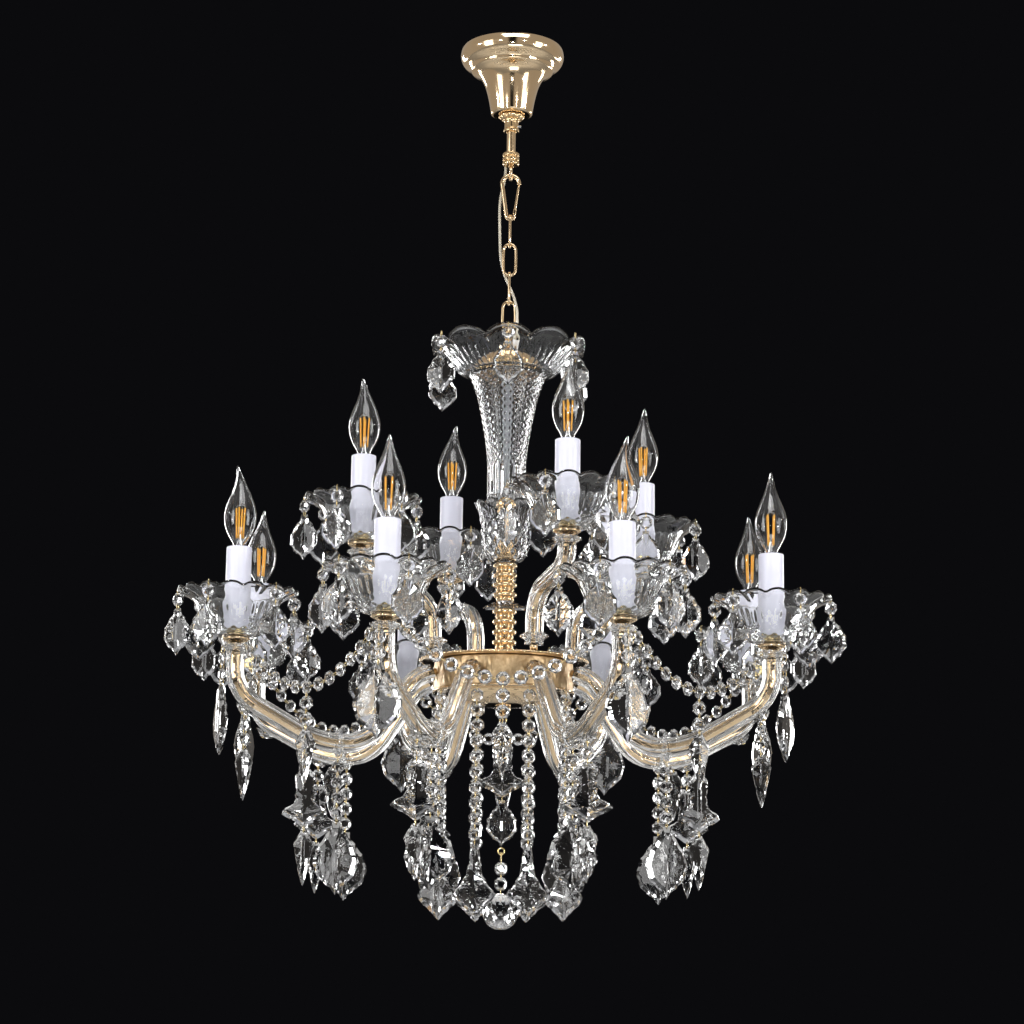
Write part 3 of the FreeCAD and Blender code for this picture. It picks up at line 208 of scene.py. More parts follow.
def copies(shape, places):
    """The shape at each place; a place is a 3 x 4 matrix, three columns that turn and one that moves."""
    points, faces = shape
    places = np.asarray(places, float)
    moved = np.einsum("kij,nj->kni", places[:, :, :3], points) + places[:, None, :, 3]
    shift = len(points) * np.arange(len(places))[:, None, None]
    return moved.reshape(-1, 3), [(group[None] + shift).reshape(-1, group.shape[1]) for group in faces]


def place(point, angle=0.0):
    """A place at a point, turned about Z by an angle in degrees."""
    c, s = math.cos(math.radians(angle)), math.sin(math.radians(angle))
    return np.array([[c, -s, 0, point[0]], [s, c, 0, point[1]], [0, 0, 1, point[2]]], float)


def polar(reach, angle, height):
    """A point at a distance from the Z axis, at an angle in degrees and a height."""
    return np.array([reach * math.cos(math.radians(angle)), reach * math.sin(math.radians(angle)), height])


# %% [markdown]
# ## Small helpers for materials
#
# Colours are written the way a paint chart gives them, as hex. Blender counts light, so one function turns
# them into linear numbers. One more function adds a node, sets its inputs and links it. Two finishes come
# back on many pieces, so each has a function: a fine relief in the skin, and two colours in soft patches.

# %% Make a material
def colour(text):
    """Linear red, green, blue and alpha of a hex colour."""
    coded = np.array([int(text[k:k + 2], 16) for k in (1, 3, 5)]) / 255
    linear = np.where(coded <= 0.04045, coded / 12.92, ((coded + 0.055) / 1.055) ** 2.4)
    return (*linear, 1.0)


def add_node(material, kind, inputs=None, to=None, **settings):
    """A node with its settings and links. An input is a value, or another node's output. `to` names an output
    of the new node and the socket that it leads to."""
    tree = material.node_tree
    node = tree.nodes.new(kind)
    for word, value in settings.items():
        setattr(node, word, value)
    for word, value in (inputs or {}).items():
        if isinstance(value, bpy.types.NodeSocket):
            tree.links.new(value, node.inputs[word])
        else:
            node.inputs[word].default_value = value
    for word, socket in (to or {}).items():
        tree.links.new(node.outputs[word], socket)
    return node


def new_material(name, base, roughness, **inputs):
    """A material with its Principled shader, and the shader itself."""
    material = bpy.data.materials.new(name)
    material.use_nodes = True
    shader = material.node_tree.nodes["Principled BSDF"]
    shader.inputs["Base Color"].default_value = colour(base)
    shader.inputs["Roughness"].default_value = roughness
    for word, value in inputs.items():
        shader.inputs[word.replace("_", " ")].default_value = value
    return material, shader


def relief(material, shader, grain_mm, depth_mm, stretch=(1, 1, 1)):
    """Grain of a given size and depth in the skin of a piece: noise on its own coordinates tilts faces."""
    where = add_node(material, "ShaderNodeTexCoord").outputs["Object"]
    scaled = add_node(material, "ShaderNodeMapping", {"Vector": where, "Scale": stretch}).outputs["Vector"]
    grain = add_node(material, "ShaderNodeTexNoise",
                     {"Vector": scaled, "Scale": 1 / (grain_mm * MM), "Detail": 2.0}).outputs["Fac"]
    add_node(material, "ShaderNodeBump", {"Height": grain, "Distance": depth_mm * MM, "Strength": 1.0},
             to={"Normal": shader.inputs["Normal"]})


def patchy(material, shader, patch_mm, first, second):
    """Two hex colours that take turns in soft patches of a given size; returns the pattern, from 0 to 1."""
    where = add_node(material, "ShaderNodeTexCoord").outputs["Object"]
    patches = add_node(material, "ShaderNodeTexNoise",
                       {"Vector": where, "Scale": 1 / (patch_mm * MM), "Detail": 2.0}).outputs["Fac"]
    add_node(material, "ShaderNodeMix", {"Factor": patches, "A": colour(first), "B": colour(second)},
             to={"Result": shader.inputs["Base Color"]}, data_type="RGBA")
    return patches


# %% [markdown]
# ## Metals
#
# The metal is brass, plated in pale champagne gold, polished and lacquered. Such a plate reflects like a
# mirror, so its look comes from what stands around it. Only the roughness wanders a little, where polishing
# left the plate less even. The hub's drum is cast with leaves and left satin, which makes it duller and
# warmer.

# %% Metal materials
def plated_metal(name, light, dark, smoothest, roughest, patch_mm):
    """Metal whose colour and roughness wander between two values in patches of a given size."""
    material, shader = new_material(name, light, smoothest, Metallic=1.0)
    patches = patchy(material, shader, patch_mm, light, dark)
    add_node(material, "ShaderNodeMapRange",
             {"Value": patches, "From Min": 0.3, "From Max": 0.7, "To Min": smoothest, "To Max": roughest},
             to={"Result": shader.inputs["Roughness"]})
    return material, shader


champagne_gold, shader = plated_metal("champagne_gold_plate_polished", "#F3DDBB", "#E6C79B", 0.07, 0.15, 30)
turned_gold, shader = plated_metal("champagne_gold_plate_turned", "#F2DAB2", "#DDB985", 0.12, 0.24, 8)
cast_gold, shader = plated_metal("cast_brass_satin_gold", "#D8BF99", "#B0926B", 0.3, 0.45, 4)
relief(cast_gold, shader, 1.2, 0.25)
gold_wire, shader = plated_metal("gold_plated_wire", "#F5E3B4", "#E2C583", 0.15, 0.28, 6)
zinc_steel, shader = plated_metal("zinc_plated_steel", "#C9CCD0", "#A9ADB2", 0.3, 0.45, 12)

# %% [markdown]
# ## Glass and crystal
#
# Everything clear is solid glass that light really bends through. Cut crystal bends it more than pressed
# glass does. Pressed glass has a slightly wavy skin from its iron mould. The bulb's blown glass is even and
# thin.

# %% Clear materials
def clear_material(name, base, ior, roughness=0.0, wave_mm=None, wave_depth=0.0):
    """Clear glass, with waves of a given length in its skin if it has any."""
    material, shader = new_material(name, base, roughness, IOR=ior, Transmission_Weight=1.0)
    if wave_mm:
        relief(material, shader, wave_mm, wave_depth)
    return material


crystal = clear_material("cut_crystal_polished", "#FFFFFF", 1.58)
stone_glass = clear_material("cut_crystal_large_stones", "#FFFFFF", 1.56)
cut_glass = clear_material("diamond_cut_glass", "#FFFFFF", 1.52, 0.0, 9, 0.03)
pressed_glass = clear_material("pressed_clear_glass", "#FEFFFF", 1.5, 0.0, 14, 0.05)
arm_glass = clear_material("drawn_reeded_glass", "#FFFEFB", 1.5, 0.03, 10, 0.2)
bulb_glass = clear_material("blown_bulb_glass", "#FFFFFF", 1.45)

# %% [markdown]
# ## Plastics
#
# The candle sleeves are extruded tubes of cool white plastic with a satin skin, and a faint grain along
# them. The lampholders, the terminal block and the gland are moulded white plastic. The cable is a clear
# jacket over fine tinned strands, whose twist shows through as slanting lines.

# %% Plastic materials
white_sleeve, shader = new_material("extruded_white_sleeve", "#E6E6F5", 0.36, Coat_Weight=0.25)
shader.inputs["Coat Roughness"].default_value = 0.15
relief(white_sleeve, shader, 2.0, 0.03, stretch=(1, 1, 0.1))

moulded_white, shader = new_material("moulded_white_plastic", "#ECECEC", 0.4)
relief(moulded_white, shader, 1.0, 0.02)

cable_jacket, shader = new_material("clear_jacket_tinned_strands", "#E6DFCC", 0.22, Coat_Weight=0.6,
                                    Transmission_Weight=0.25)
where = add_node(cable_jacket, "ShaderNodeTexCoord").outputs["UV"]
strands = add_node(cable_jacket, "ShaderNodeTexWave",
                   {"Vector": where, "Scale": 3.0}, bands_direction="DIAGONAL")
add_node(cable_jacket, "ShaderNodeMix",
         {"Factor": strands.outputs["Fac"], "A": colour("#F2ECDC"), "B": colour("#B9AE94")},
         to={"Result": shader.inputs["Base Color"]}, data_type="RGBA")
print(len(bpy.data.materials), "materials so far")

# %% [markdown]
# ## The cable
#
# A clear cable leaves the ferrule, hangs beside the chain, crosses over at the third link and goes down
# into the crown's gland. It has to bend at every ring of the chain, so one smooth line is drawn first and
# then shared among six stretches of cable, each of which reaches across one joint and rides on no body.

# %% Draw the cable
CABLE_RADIUS = 1.5
CABLE_ROUTE = [
    (-0.006, 0.005, -0.141), (-0.006, 0.005, -0.156), (-0.0125, 0.006, -0.179), (-0.012, 0.0064, -0.215),
    (-0.0102, 0.006, -0.262), (0.009, -0.006, -0.306), (0.01, -0.0045, -0.332), (0.01, -0.0045, -0.35),
]
STRETCH_ENDS = [-177, -222, -255, -289, -318]

curve = bpy.data.curves.new("cable_line", "CURVE")
curve.dimensions = "3D"
spline = curve.splines.new("NURBS")
spline.points.add(len(CABLE_ROUTE) - 1)
spline.points.foreach_set("co", np.array([(*point, 1) for point in CABLE_ROUTE]).ravel())
spline.order_u = 3
spline.use_endpoint_u = True
spline.resolution_u = 40
guide = bpy.data.objects.new("cable_line", curve)
bpy.context.scene.collection.objects.link(guide)
line_mesh = bpy.data.meshes.new_from_object(guide)
cable_line = np.zeros(len(line_mesh.vertices) * 3)
line_mesh.vertices.foreach_get("co", cable_line)
cable_line = cable_line.reshape(-1, 3) / MM
bpy.data.objects.remove(guide)
cuts = [0] + [int(np.argmax(cable_line[:, 2] < height)) for height in STRETCH_ENDS] + [len(cable_line) - 1]
for k, (first, last) in enumerate(zip(cuts, cuts[1:])):
    stretch = cable_line[first:last + 1]
    length = float(np.sum(np.linalg.norm(np.diff(stretch, axis=0), axis=1))) * MM
    piece = make_piece(f"cable_{k + 1}", bar_along(stretch, CABLE_RADIUS, 12), cable_jacket, None,
                       ["power_cable"])
    around = np.tile(np.arange(12) / 12, len(stretch))
    along = np.repeat(np.linspace(0, length / (TURN * CABLE_RADIUS * MM), len(stretch)), 12)
    by_point = np.stack([around, along], axis=1)
    corners = np.zeros(len(piece.data.loops), int)
    piece.data.loops.foreach_get("vertex_index", corners)
    piece.data.uv_layers.new(name="jacket").data.foreach_set("uv", by_point[corners].ravel())
    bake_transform(piece)
    path = (stretch * MM).tolist()
    print("stretch", k + 1, "is", round(length * 1000, 1), "mm")

# %% [markdown]
# ## Ceiling fitting and canopy
#
# The canopy is spun from sheet brass: a rolled rim, a step and a flared funnel. Its profile is drawn as a
# smooth line and turned. Small rounded corners matter on polished metal, since each one catches a line of
# light. The collar under it has a foot of rounded lobes, and the ferrule is three turned rings.

# %% Canopy, collar, stem and ferrule
WALL = 1.2


def rounded_profile(corners, size=1.0, steps=5):
    """A closed profile whose corners are cut by arcs. Each corner's arc is a curve with the corner as its
    middle control point, and starts at most `size` millimetres from it."""
    corners = np.asarray(corners, float)
    before, after = np.roll(corners, 1, axis=0) - corners, np.roll(corners, -1, axis=0) - corners
    reach = np.minimum(size, 0.45 * np.minimum(np.linalg.norm(before, axis=1), np.linalg.norm(after, axis=1)))
    start, finish = (corners + unit(side) * reach[:, None] for side in (before, after))
    t = np.linspace(0, 1, steps)[None, :, None]
    arcs = ((1 - t) ** 2 * start[:, None] + 2 * t * (1 - t) * corners[:, None] + t ** 2 * finish[:, None])
    return arcs.reshape(-1, 2)


def shell_profile(outside, wall):
    """A wall of even thickness inside a line that runs upwards; the edges are closed by the profile."""
    outside = np.asarray(outside, float)
    ahead = np.gradient(outside, axis=0)
    inward = unit(np.stack([-ahead[:, 1], ahead[:, 0]], axis=1))
    return np.concatenate([outside, (outside + inward * wall)[::-1]])


canopy_line = curve_through([(5.5, -79.9), (15, -79.9), (21, -79.7), (23.6, -78.4), (24.3, -75), (27, -60),
                             (31, -45), (36.5, -34), (41.5, -29.5), (45.5, -27.8), (47.4, -26.2),
                             (48.4, -23.5), (51.5, -20.6), (56, -18), (58.8, -13.5), (59.8, -8), (59, -3),
                             (57.8, -0.6)])
make_piece("canopy_shell", turned(shell_profile(canopy_line, WALL), 144), champagne_gold, "canopy",
                    ["canopy"])


def lobed_foot(angle, radius, height, share):
    """Eight rounded lobes round the collar's flange."""
    lobes = 1 - 0.16 * (1 - np.abs(np.cos(4 * angle)) ** 0.7)
    return np.where(radius > 10, radius * lobes, radius), height


collar_profile = rounded_profile([(5.6, -100.2), (9, -100.2), (9, -97.4), (8, -96.6), (8, -89), (9, -87.5),
                                  (9, -85.6), (13, -84.8), (14.8, -82.6), (14.8, -80.5), (5.6, -80.5)], 0.8)
make_piece("canopy_collar_ring", turned(collar_profile, 96, lobed_foot), turned_gold, "canopy",
           ["canopy_collar"])
stem_profile = rounded_profile([(3, -129), (5, -129), (5, -0.4), (3, -0.4)], 0.4)
make_piece("stem_tube", turned(stem_profile, 48), champagne_gold, "ceiling", ["hanger_stem"])
ferrule_profile = rounded_profile([
    (3.4, -140.9), (8.6, -140.9), (9.5, -139.8), (9.5, -136.8), (8.1, -136.3), (8.1, -135.7), (9.5, -135.2),
    (9.5, -131.9), (8.1, -131.4), (8.1, -130.8), (9.5, -130.2), (9.5, -127), (8.6, -126.1), (5.4, -126.1),
    (5.4, -129.2), (3.4, -129.2)], 0.5)
make_piece("ferrule_rings", turned(ferrule_profile, 64), turned_gold, "ceiling", ["hanger_ferrule"])

# %% [markdown]
# ## Loops, hook and chain
#
# The loops, the hook and the links are bent from round wire, so each is a round bar along a line: a ring, a
# pear or a long oval. The direction across the line is the one at right angles to the plane that the wire
# lies in, which keeps the bar from twisting.

# %% Loops, hook and links
def ring_line(radius, height, count=40):
    """A circle in the YZ plane."""
    angle = TURN * np.arange(count) / count
    return np.stack([0 * angle, radius * np.cos(angle), height + radius * np.sin(angle)], axis=1)


def arc_line(centre, radius, start, finish, count=20):
    """An arc in the XZ plane between two angles in degrees, measured from +X towards +Z."""
    angle = np.radians(np.linspace(start, finish, count))
    return np.stack([centre[0] + radius * np.cos(angle), 0 * angle, centre[1] + radius * np.sin(angle)],
                    axis=1)


loop_stud = turned(rounded_profile([(0.4, -143.4), (3, -143.4), (3, -132), (0.4, -132)], 0.6), 32)
make_piece("hanger_loop_wire", together(bar_along(ring_line(7, -150.3), 2, 16, (1, 0, 0), True), loop_stud),
           champagne_gold, "ceiling", ["hanger_loop"])

HOOK_HEAD, HOOK_FOOT = (0, -162.5), (0, -200.75)
HOOK_HEAD_RADIUS, HOOK_FOOT_RADIUS, HOOK_WIRE = 9.75, 4.5, 2.25
lean = math.degrees(math.asin((HOOK_HEAD_RADIUS - HOOK_FOOT_RADIUS) / (HOOK_HEAD[1] - HOOK_FOOT[1])))
head_arc = arc_line(HOOK_HEAD, HOOK_HEAD_RADIUS, -lean, 180 + lean, 28)
foot_arc = arc_line(HOOK_FOOT, HOOK_FOOT_RADIUS, 180 + lean, 360 - lean, 24)
left_side = np.linspace(head_arc[-1], foot_arc[0], 12)[1:-1]
hook_line = np.concatenate([head_arc, left_side, foot_arc])
pivot = np.array([5.35, 0, -194.93])
side_way = unit(head_arc[0] - foot_arc[-1])
ear_angle = TURN * np.arange(24) / 24
ear_section = (np.abs(np.cos(ear_angle) / 1.7) ** 6 + np.abs(np.sin(ear_angle) / 0.35) ** 6) ** (-1 / 6)
ears = []
for face in (-1.95, 1.95):
    ear = np.linspace(pivot - side_way * 5.4, pivot + side_way * 1.2, 8) + np.array([0, face, 0])
    ears.append(bar_along(ear, ear_section, 24))
make_piece("hook_wire", together(bar_along(hook_line, HOOK_WIRE, 20), *ears), champagne_gold, "hook",
           ["snap_hook"])
gate_line = np.linspace(pivot - side_way * 1.6, head_arc[0] - side_way * 0.4, 12)
gate_radius = 1.3 - 0.35 * np.abs(np.linspace(-1, 1, 12))[:, None] ** 8
make_piece("hook_gate_bar", bar_along(gate_line, gate_radius, 16), champagne_gold, "gate", ["hook_gate"])

LINK_HALF_WIDTH, LINK_REACH, LINK_WIRE = 7.25, 37.5, 1.5
FIRST_LINK, LINK_PITCH = -201.2, 34.2
straight = LINK_REACH - 2 * LINK_HALF_WIDTH
top_arc = arc_line((0, -LINK_HALF_WIDTH), LINK_HALF_WIDTH, 0, 180, 20)
low_arc = arc_line((0, LINK_HALF_WIDTH - LINK_REACH), LINK_HALF_WIDTH, 180, 360, 20)
runs = [np.linspace(top_arc[-1], low_arc[0], 8)[1:-1], np.linspace(low_arc[-1], top_arc[0], 8)[1:-1]]
link_line = np.concatenate([top_arc, runs[0], low_arc, runs[1]])
link_line[:, 0] *= 1 - 0.06 * np.abs(link_line[:, 2] + LINK_REACH / 2) / (LINK_REACH / 2)
link_shape = bar_along(link_line, LINK_WIRE, 16, closed=True)
for k in range(4):
    spot = place((0, 0, FIRST_LINK - LINK_PITCH * k), 90 if k % 2 == 0 else 0)
    make_piece(f"link_wire_{k + 1}", copies(link_shape, [spot]), champagne_gold, f"link_{k + 1}",
               [f"chain_link_{k + 1}"])
print("each straight side of a link is", straight, "mm long")

# %% [markdown]
# ## Crown fittings and the turned columns
#
# The ring on the crown's boss carries the whole lamp. Below it a domed cap hides the wires: on the real lamp
# it is stamped with petals. Further down, two brass balusters show rows of turned discs, and the eye under
# the hub holds the centre drop.

# %% Crown ring, cap, balusters and eye
boss = turned(rounded_profile([(5.4, -360.4), (8, -360.4), (8, -352.4), (5, -351), (0.4, -350.6), (0.4, -353),
                               (5.4, -354)], 0.8), 48)
make_piece("crown_ring_and_boss", together(bar_along(ring_line(7, -344.5), 2, 16, (1, 0, 0), True), boss),
           champagne_gold, "frame", ["crown_loop"])


def petal_ripple(count, depth):
    """Petals pressed into a dome: its wall goes in and out round the axis, more towards the rim."""
    def ripple(angle, radius, height, share):
        fullness = np.clip((radius - 10) / 20, 0, 1)
        return radius - depth * fullness * (1 - np.abs(np.cos(count / 2 * angle)) ** 0.8), height
    return ripple


cap_line = curve_through([(36, -386.6), (35.4, -380), (32, -373), (26, -367.5), (18, -363.6), (9.5, -361.4),
                          (5.4, -361.1)])
make_piece("crown_cap_dome", turned(shell_profile(cap_line, 1.5), 160, petal_ripple(16, 2.2)), turned_gold,
           "frame", ["crown_cap"])


def baluster_line(top, tall, discs):
    """Discs with round edges, one above the other: the radius is a neck plus a rounded pulse per disc."""
    height = np.linspace(top - tall, top, discs * 28 + 1)
    phase = ((top - height) / tall * discs) % 1
    pulse = np.clip(1 - ((phase - 0.32) / 0.3) ** 2, 0, 1) ** 0.5
    bead = np.clip(1 - ((phase - 0.8) / 0.15) ** 2, 0, 1) ** 0.5
    return np.stack([8.8 + 4.6 * pulse + 1.3 * bead, height], axis=1)


def sleeve_profile(line, bore):
    """A line that runs upwards, closed by a straight bore."""
    return np.concatenate([line, [(bore, line[-1, 1]), (bore, line[0, 1])]])


for label, top, tall, discs in (("upper", -606.8, 43.8, 4), ("lower", -658.4, 57.8, 5)):
    shape = turned(sleeve_profile(baluster_line(top, tall, discs), 5.3), 64)
    make_piece(f"{label}_baluster_discs", shape, champagne_gold, "frame", [f"{label}_baluster"])
eye_boss = turned(rounded_profile([(0.4, -774.4), (5, -774.4), (8, -772.6), (8, -768.6), (5.4, -768.6),
                                   (5.4, -772), (0.4, -772.6)], 0.8), 48)
make_piece("hub_eye_ring", together(bar_along(ring_line(4, -778.7, 32), 1.2, 12, (1, 0, 0), True), eye_boss),
           champagne_gold, "frame", ["hub_eye"])

# %% [markdown]
# ## The hub
#
# The arms meet in a brass drum between a round plate and a shallow bowl. The drum is cast with a frieze of
# leaves. The leaves are a real relief here: a wave round the drum is bent by a second wave up its side,
# which draws scrolls that lean both ways. The plate's edge is knurled into small pearls.

# %% Plate, drum and bowl
def pearl_edge(angle, radius, height, share):
    """Pearls along the widest part of a turned piece."""
    edge = np.clip((radius - 88) / 6, 0, 1)
    return radius - 1.2 * edge * (1 - np.abs(np.cos(36 * angle)) ** 1.4), height


plate_profile = rounded_profile([(5.4, -719.5), (91, -719.5), (94, -718.7), (94, -717.5), (91, -716.7),
                                 (30, -716.7), (26, -716.7), (5.4, -716.7)], 0.5)
make_piece("hub_plate_pearled", turned(plate_profile, 432, pearl_edge), champagne_gold, "frame",
           ["hub_plate"])


def leaf_frieze(angle, radius, height, share):
    """Leaves in low relief: two crossing waves bent by the height, sunk to nothing at both edges."""
    up = (height - height.min()) / (height.max() - height.min())
    rise = np.sin(np.pi * np.clip(up, 0, 1)) ** 0.5
    lean_wave = 0.5 * np.sin(np.pi * up)
    scroll = np.abs(np.sin(12 * angle + 2.2 * lean_wave) * np.cos(6 * angle - 3.5 * up))
    veins = 0.25 * np.cos(72 * angle + 9 * up)
    relief = np.clip(scroll + veins * scroll - 0.25, 0, 1)
    outside = radius > 77
    return np.where(outside, radius - 1.5 + 1.5 * relief * rise, radius), height


drum_heights = np.linspace(-751.8, -720.0, 33)
drum_outside = np.stack([np.full(33, 77.9), drum_heights], axis=1)
drum_profile = np.concatenate([drum_outside, [(76, -720.0), (76, -751.8)]])
make_piece("hub_drum_frieze", turned(drum_profile, 576, leaf_frieze), cast_gold, "frame", ["hub_drum"])
bowl_line = curve_through([(5.4, -768.1), (14, -768.1), (30, -766.6), (46, -762), (55, -757.6),
                           (58.4, -754.3), (64, -753.9), (74, -754.1), (78.6, -753.6)])
make_piece("hub_bowl", turned(shell_profile(bowl_line, 1.4), 160), champagne_gold, "frame", ["hub_cover"])

# %% [markdown]
# ## The arms
#
# Each arm is a bent brass tube inside a thick glass one. The glass is drawn with twelve reeds along it, and
# like a rod lens it makes the thin tube look nearly as wide as itself. The line of an arm is straight runs
# joined by arcs, each arc as large as its two runs allow.

# %% Arm lines, metal tubes and glass casings
def rounded_line(corners, steps=14):
    """Straight runs joined by tangent arcs, in the XZ plane. Each arc starts at 0.45 of the shorter run."""
    corners = np.asarray(corners, float)
    parts = [corners[:1]]
    for before, corner, after in zip(corners, corners[1:], corners[2:]):
        back, ahead = before - corner, after - corner
        reach = 0.45 * min(np.linalg.norm(back), np.linalg.norm(ahead))
        back, ahead = unit(back), unit(ahead)
        half = 0.5 * (math.pi - math.acos(float(np.clip(back @ ahead, -1, 1))))
        radius = reach / math.tan(half)
        middle = corner + unit(back + ahead) * radius / math.cos(half)
        swing = np.linspace(-half, half, steps)[:, None]
        towards, across = unit(back + ahead) * radius, unit(ahead - back) * radius
        parts.append(middle - towards * np.cos(swing) + across * np.sin(swing))
    parts.append(corners[-1:])
    flat = np.concatenate(parts)
    return np.stack([flat[:, 0], np.zeros(len(flat)), flat[:, 1]], axis=1)


def trimmed(line, start, finish, spacing=4.0):
    """The line between two distances from its ends, with points at an even spacing."""
    lengths = np.concatenate([[0], np.cumsum(np.linalg.norm(np.diff(line, axis=0), axis=1))])
    stops = np.linspace(start, lengths[-1] - finish, int((lengths[-1] - start - finish) / spacing))
    return np.stack([np.interp(stops, lengths, line[:, k]) for k in range(3)], axis=1)


LOWER_ANGLES = [22.5 + 45 * k for k in range(8)]
UPPER_ANGLES = [22.5 + 90 * k for k in range(4)]
REEDS = 12
lower_line = rounded_line([(80, -734), (104, -742), (160, -818), (215, -818), (308, -770), (308, -713)])
upper_line = rounded_line([(84, -716.3), (87, -653), (170, -634), (170, -599)])
reed_angle = TURN * np.arange(96) / 96
reeded = 10 - 1.1 * (1 - np.abs(np.cos(REEDS / 2 * reed_angle)) ** 0.7)
for tier, line, angles in (("lower", lower_line, LOWER_ANGLES), ("upper", upper_line, UPPER_ANGLES)):
    around = [place((0, 0, 0), angle) for angle in angles]
    tube = bar_along(np.vstack([trimmed(line, 0, 0, 5.0), line[-1] + [0, 0, 15]]), 4, 16)
    make_piece(f"{tier}_arm_cores", copies(tube, around), champagne_gold, "frame", [f"{tier}_arm_tubes"])
    casing = pipe_along(trimmed(line, 6, 14.3, 5.5), reeded[None], np.full((1, 96), 4.35), 96)
    make_piece(f"{tier}_arm_casings", copies(casing, around), arm_glass, "frame", [f"{tier}_arm_glass"])

# %% [markdown]
# ## Pressed and cut glass vessels
#
# The bobeches are pressed in an iron mould: a bowl cut with diamonds at its foot, and above it a flared wall
# of petals with scalloped edges and a rounded lip. One closed profile gives the wall its thickness, and two
# patterns move its outside: a grid of small pyramids, where two slanting triangle waves meet, and flutes that
# deepen upwards.

# %% Patterns of cut and pressed glass
def triangle_wave(turns):
    """0 at whole turns, 1 half way between them, straight in between."""
    return 1 - np.abs(2 * (turns % 1) - 1)


def diamonds(angle, rise, count):
    """Small pyramids in a slanting grid: high where two crossing triangle waves are both low."""
    first = triangle_wave(count * angle / TURN + rise)
    second = triangle_wave(count * angle / TURN - rise)
    return 1 - np.maximum(first, second)


def petals(angle, count, roundness=0.6):
    """1 in the middle of each petal, 0 in the notch between two; a petal is centred on angle 0."""
    return np.abs(np.cos(count / 2 * angle)) ** roundness


# %% Bobeches
BOBECHE_PETALS, BOBECHE_DIAMONDS = 16, 16
outside = curve_through([(9, 0.4), (16.2, 0.4), (20.5, 1.6), (26, 4.2), (31, 8.6), (34.8, 14.5), (38, 22),
                         (42, 31), (47.5, 39.5), (54.5, 45.6), (60, 48.5)], 4)
lip_angle = np.radians(np.linspace(-120, 130, 9))[:, None]
lip = np.array([[63.6, 50.8]]) + 1.4 * np.concatenate([np.cos(lip_angle), np.sin(lip_angle)], axis=1)
inside = curve_through([(59.4, 51), (52.5, 47.8), (45, 41.5), (39.5, 32.5), (35.5, 23.5), (32, 15.8),
                        (28, 10.2), (23, 6), (17, 3.4), (9, 3.2), (4.5, 3.2), (4.5, 0.4)], 2)
bobeche_profile = np.concatenate([outside, lip, inside])


def bobeche_ripple(angle, radius, height, share):
    """Diamonds on the outside of the bowl, leaves and petals on the flared wall, scallops at the rim."""
    outer = share < len(outside) / len(bobeche_profile)
    flared = np.clip((height - 16) / 34, 0, 1)
    bowl = np.clip((height - 1) / 3, 0, 1) * np.clip((21 - height) / 4, 0, 1) * outer
    cut = 1.5 * bowl * (diamonds(angle, height / 6.4, BOBECHE_DIAMONDS) - 0.5)
    petal = petals(angle, BOBECHE_PETALS)
    leaf = petals(angle, BOBECHE_PETALS * 2, 1.0) * np.sin(np.pi * np.clip(flared * 1.7, 0, 1))
    flute = -1.2 * (1 - petal) * flared + 1.1 * leaf * outer
    sunk = 5.2 * (1 - petal) * flared ** 3
    return radius + cut + flute - 0.3 * sunk, height - sunk


bobeche = turned(bobeche_profile, 144, bobeche_ripple)
lower_lights = [place(polar(308, angle, -713), angle) for angle in LOWER_ANGLES]
upper_lights = [place(polar(170, angle, -599), angle) for angle in UPPER_ANGLES]
all_lights = lower_lights + upper_lights
make_piece("lower_bobeche_cups", copies(bobeche, lower_lights), pressed_glass, "frame", ["lower_bobeches"])
make_piece("upper_bobeche_cups", copies(bobeche, upper_lights), pressed_glass, "frame", ["upper_bobeches"])

# %% [markdown]
# The crown is one wide dish of ten large petals, each with a fan of fine leaves. The column under it is a
# trumpet cut all over with diamonds that end in upright flutes, and the tulip cup repeats both.

# %% Crown dish, column and tulip cup
FRONT = math.radians(-90)
dish_outside = curve_through([(20, -390), (46, -390), (54, -388), (62, -381.5), (70, -371.5), (77, -362.5),
                              (83, -356.6)], 7)
dish_lip = np.array([[86.6, -353.2]]) + 1.8 * np.concatenate([np.cos(lip_angle), np.sin(lip_angle)], axis=1)
dish_inside = curve_through([(81.6, -354.2), (75, -359.8), (67, -369.6), (59, -379.4), (52, -385.4),
                             (45, -387.1), (20, -387.1), (5.4, -387.1), (5.4, -390)], 7)


def dish_ripple(angle, radius, height, share):
    """Ten petals that part towards the rim, with a fan of leaves pressed into each."""
    out = np.clip((radius - 48) / 40, 0, 1)
    petal = petals(angle - FRONT, 10, 0.55)
    fan = petals(angle - FRONT, 50, 1.0) * np.sin(np.pi * np.clip(out * 1.5, 0, 1)) * petal
    sunk = 15 * (1 - petal) * out ** 2.5
    return radius - 3.5 * (1 - petal) * out - 0.9 * fan * out, height - sunk + 1.1 * fan


make_piece("crown_dish_petals", turned(np.concatenate([dish_outside, dish_lip, dish_inside]), 480,
                                       dish_ripple),
           pressed_glass, "frame", ["crown_dish"])

column_outside = curve_through([(21.4, -538.3), (21.6, -526), (21.8, -510), (22, -496), (23.4, -480),
                                (26.4, -460), (30, -440), (34.2, -420), (39, -404), (44.4, -391)], 12)
column_inside = curve_through([(39.6, -390.8), (34, -404), (29, -421), (25, -440), (21.4, -460), (18.6, -480),
                               (16.6, -498), (16.4, -529), (12, -530.4), (5.4, -530.4), (5.4, -538.3)], 5)
column_profile = np.concatenate([column_outside, column_inside])


def column_ripple(angle, radius, height, share):
    """Diamonds down to the waist and upright flutes below it, on the outside only."""
    outer = share < len(column_outside) / len(column_profile)
    above = np.clip((height + 500) / 6, 0, 1)
    spread = np.log(radius / 22)
    rise = 3.9 * spread + (height + 495) / 10
    cut = 1.3 * above * (diamonds(angle, rise, 24) - 1)
    flute = -1.5 * (1 - above) * (1 - petals(angle, 20, 1.0))
    return radius + (cut + flute) * outer, height


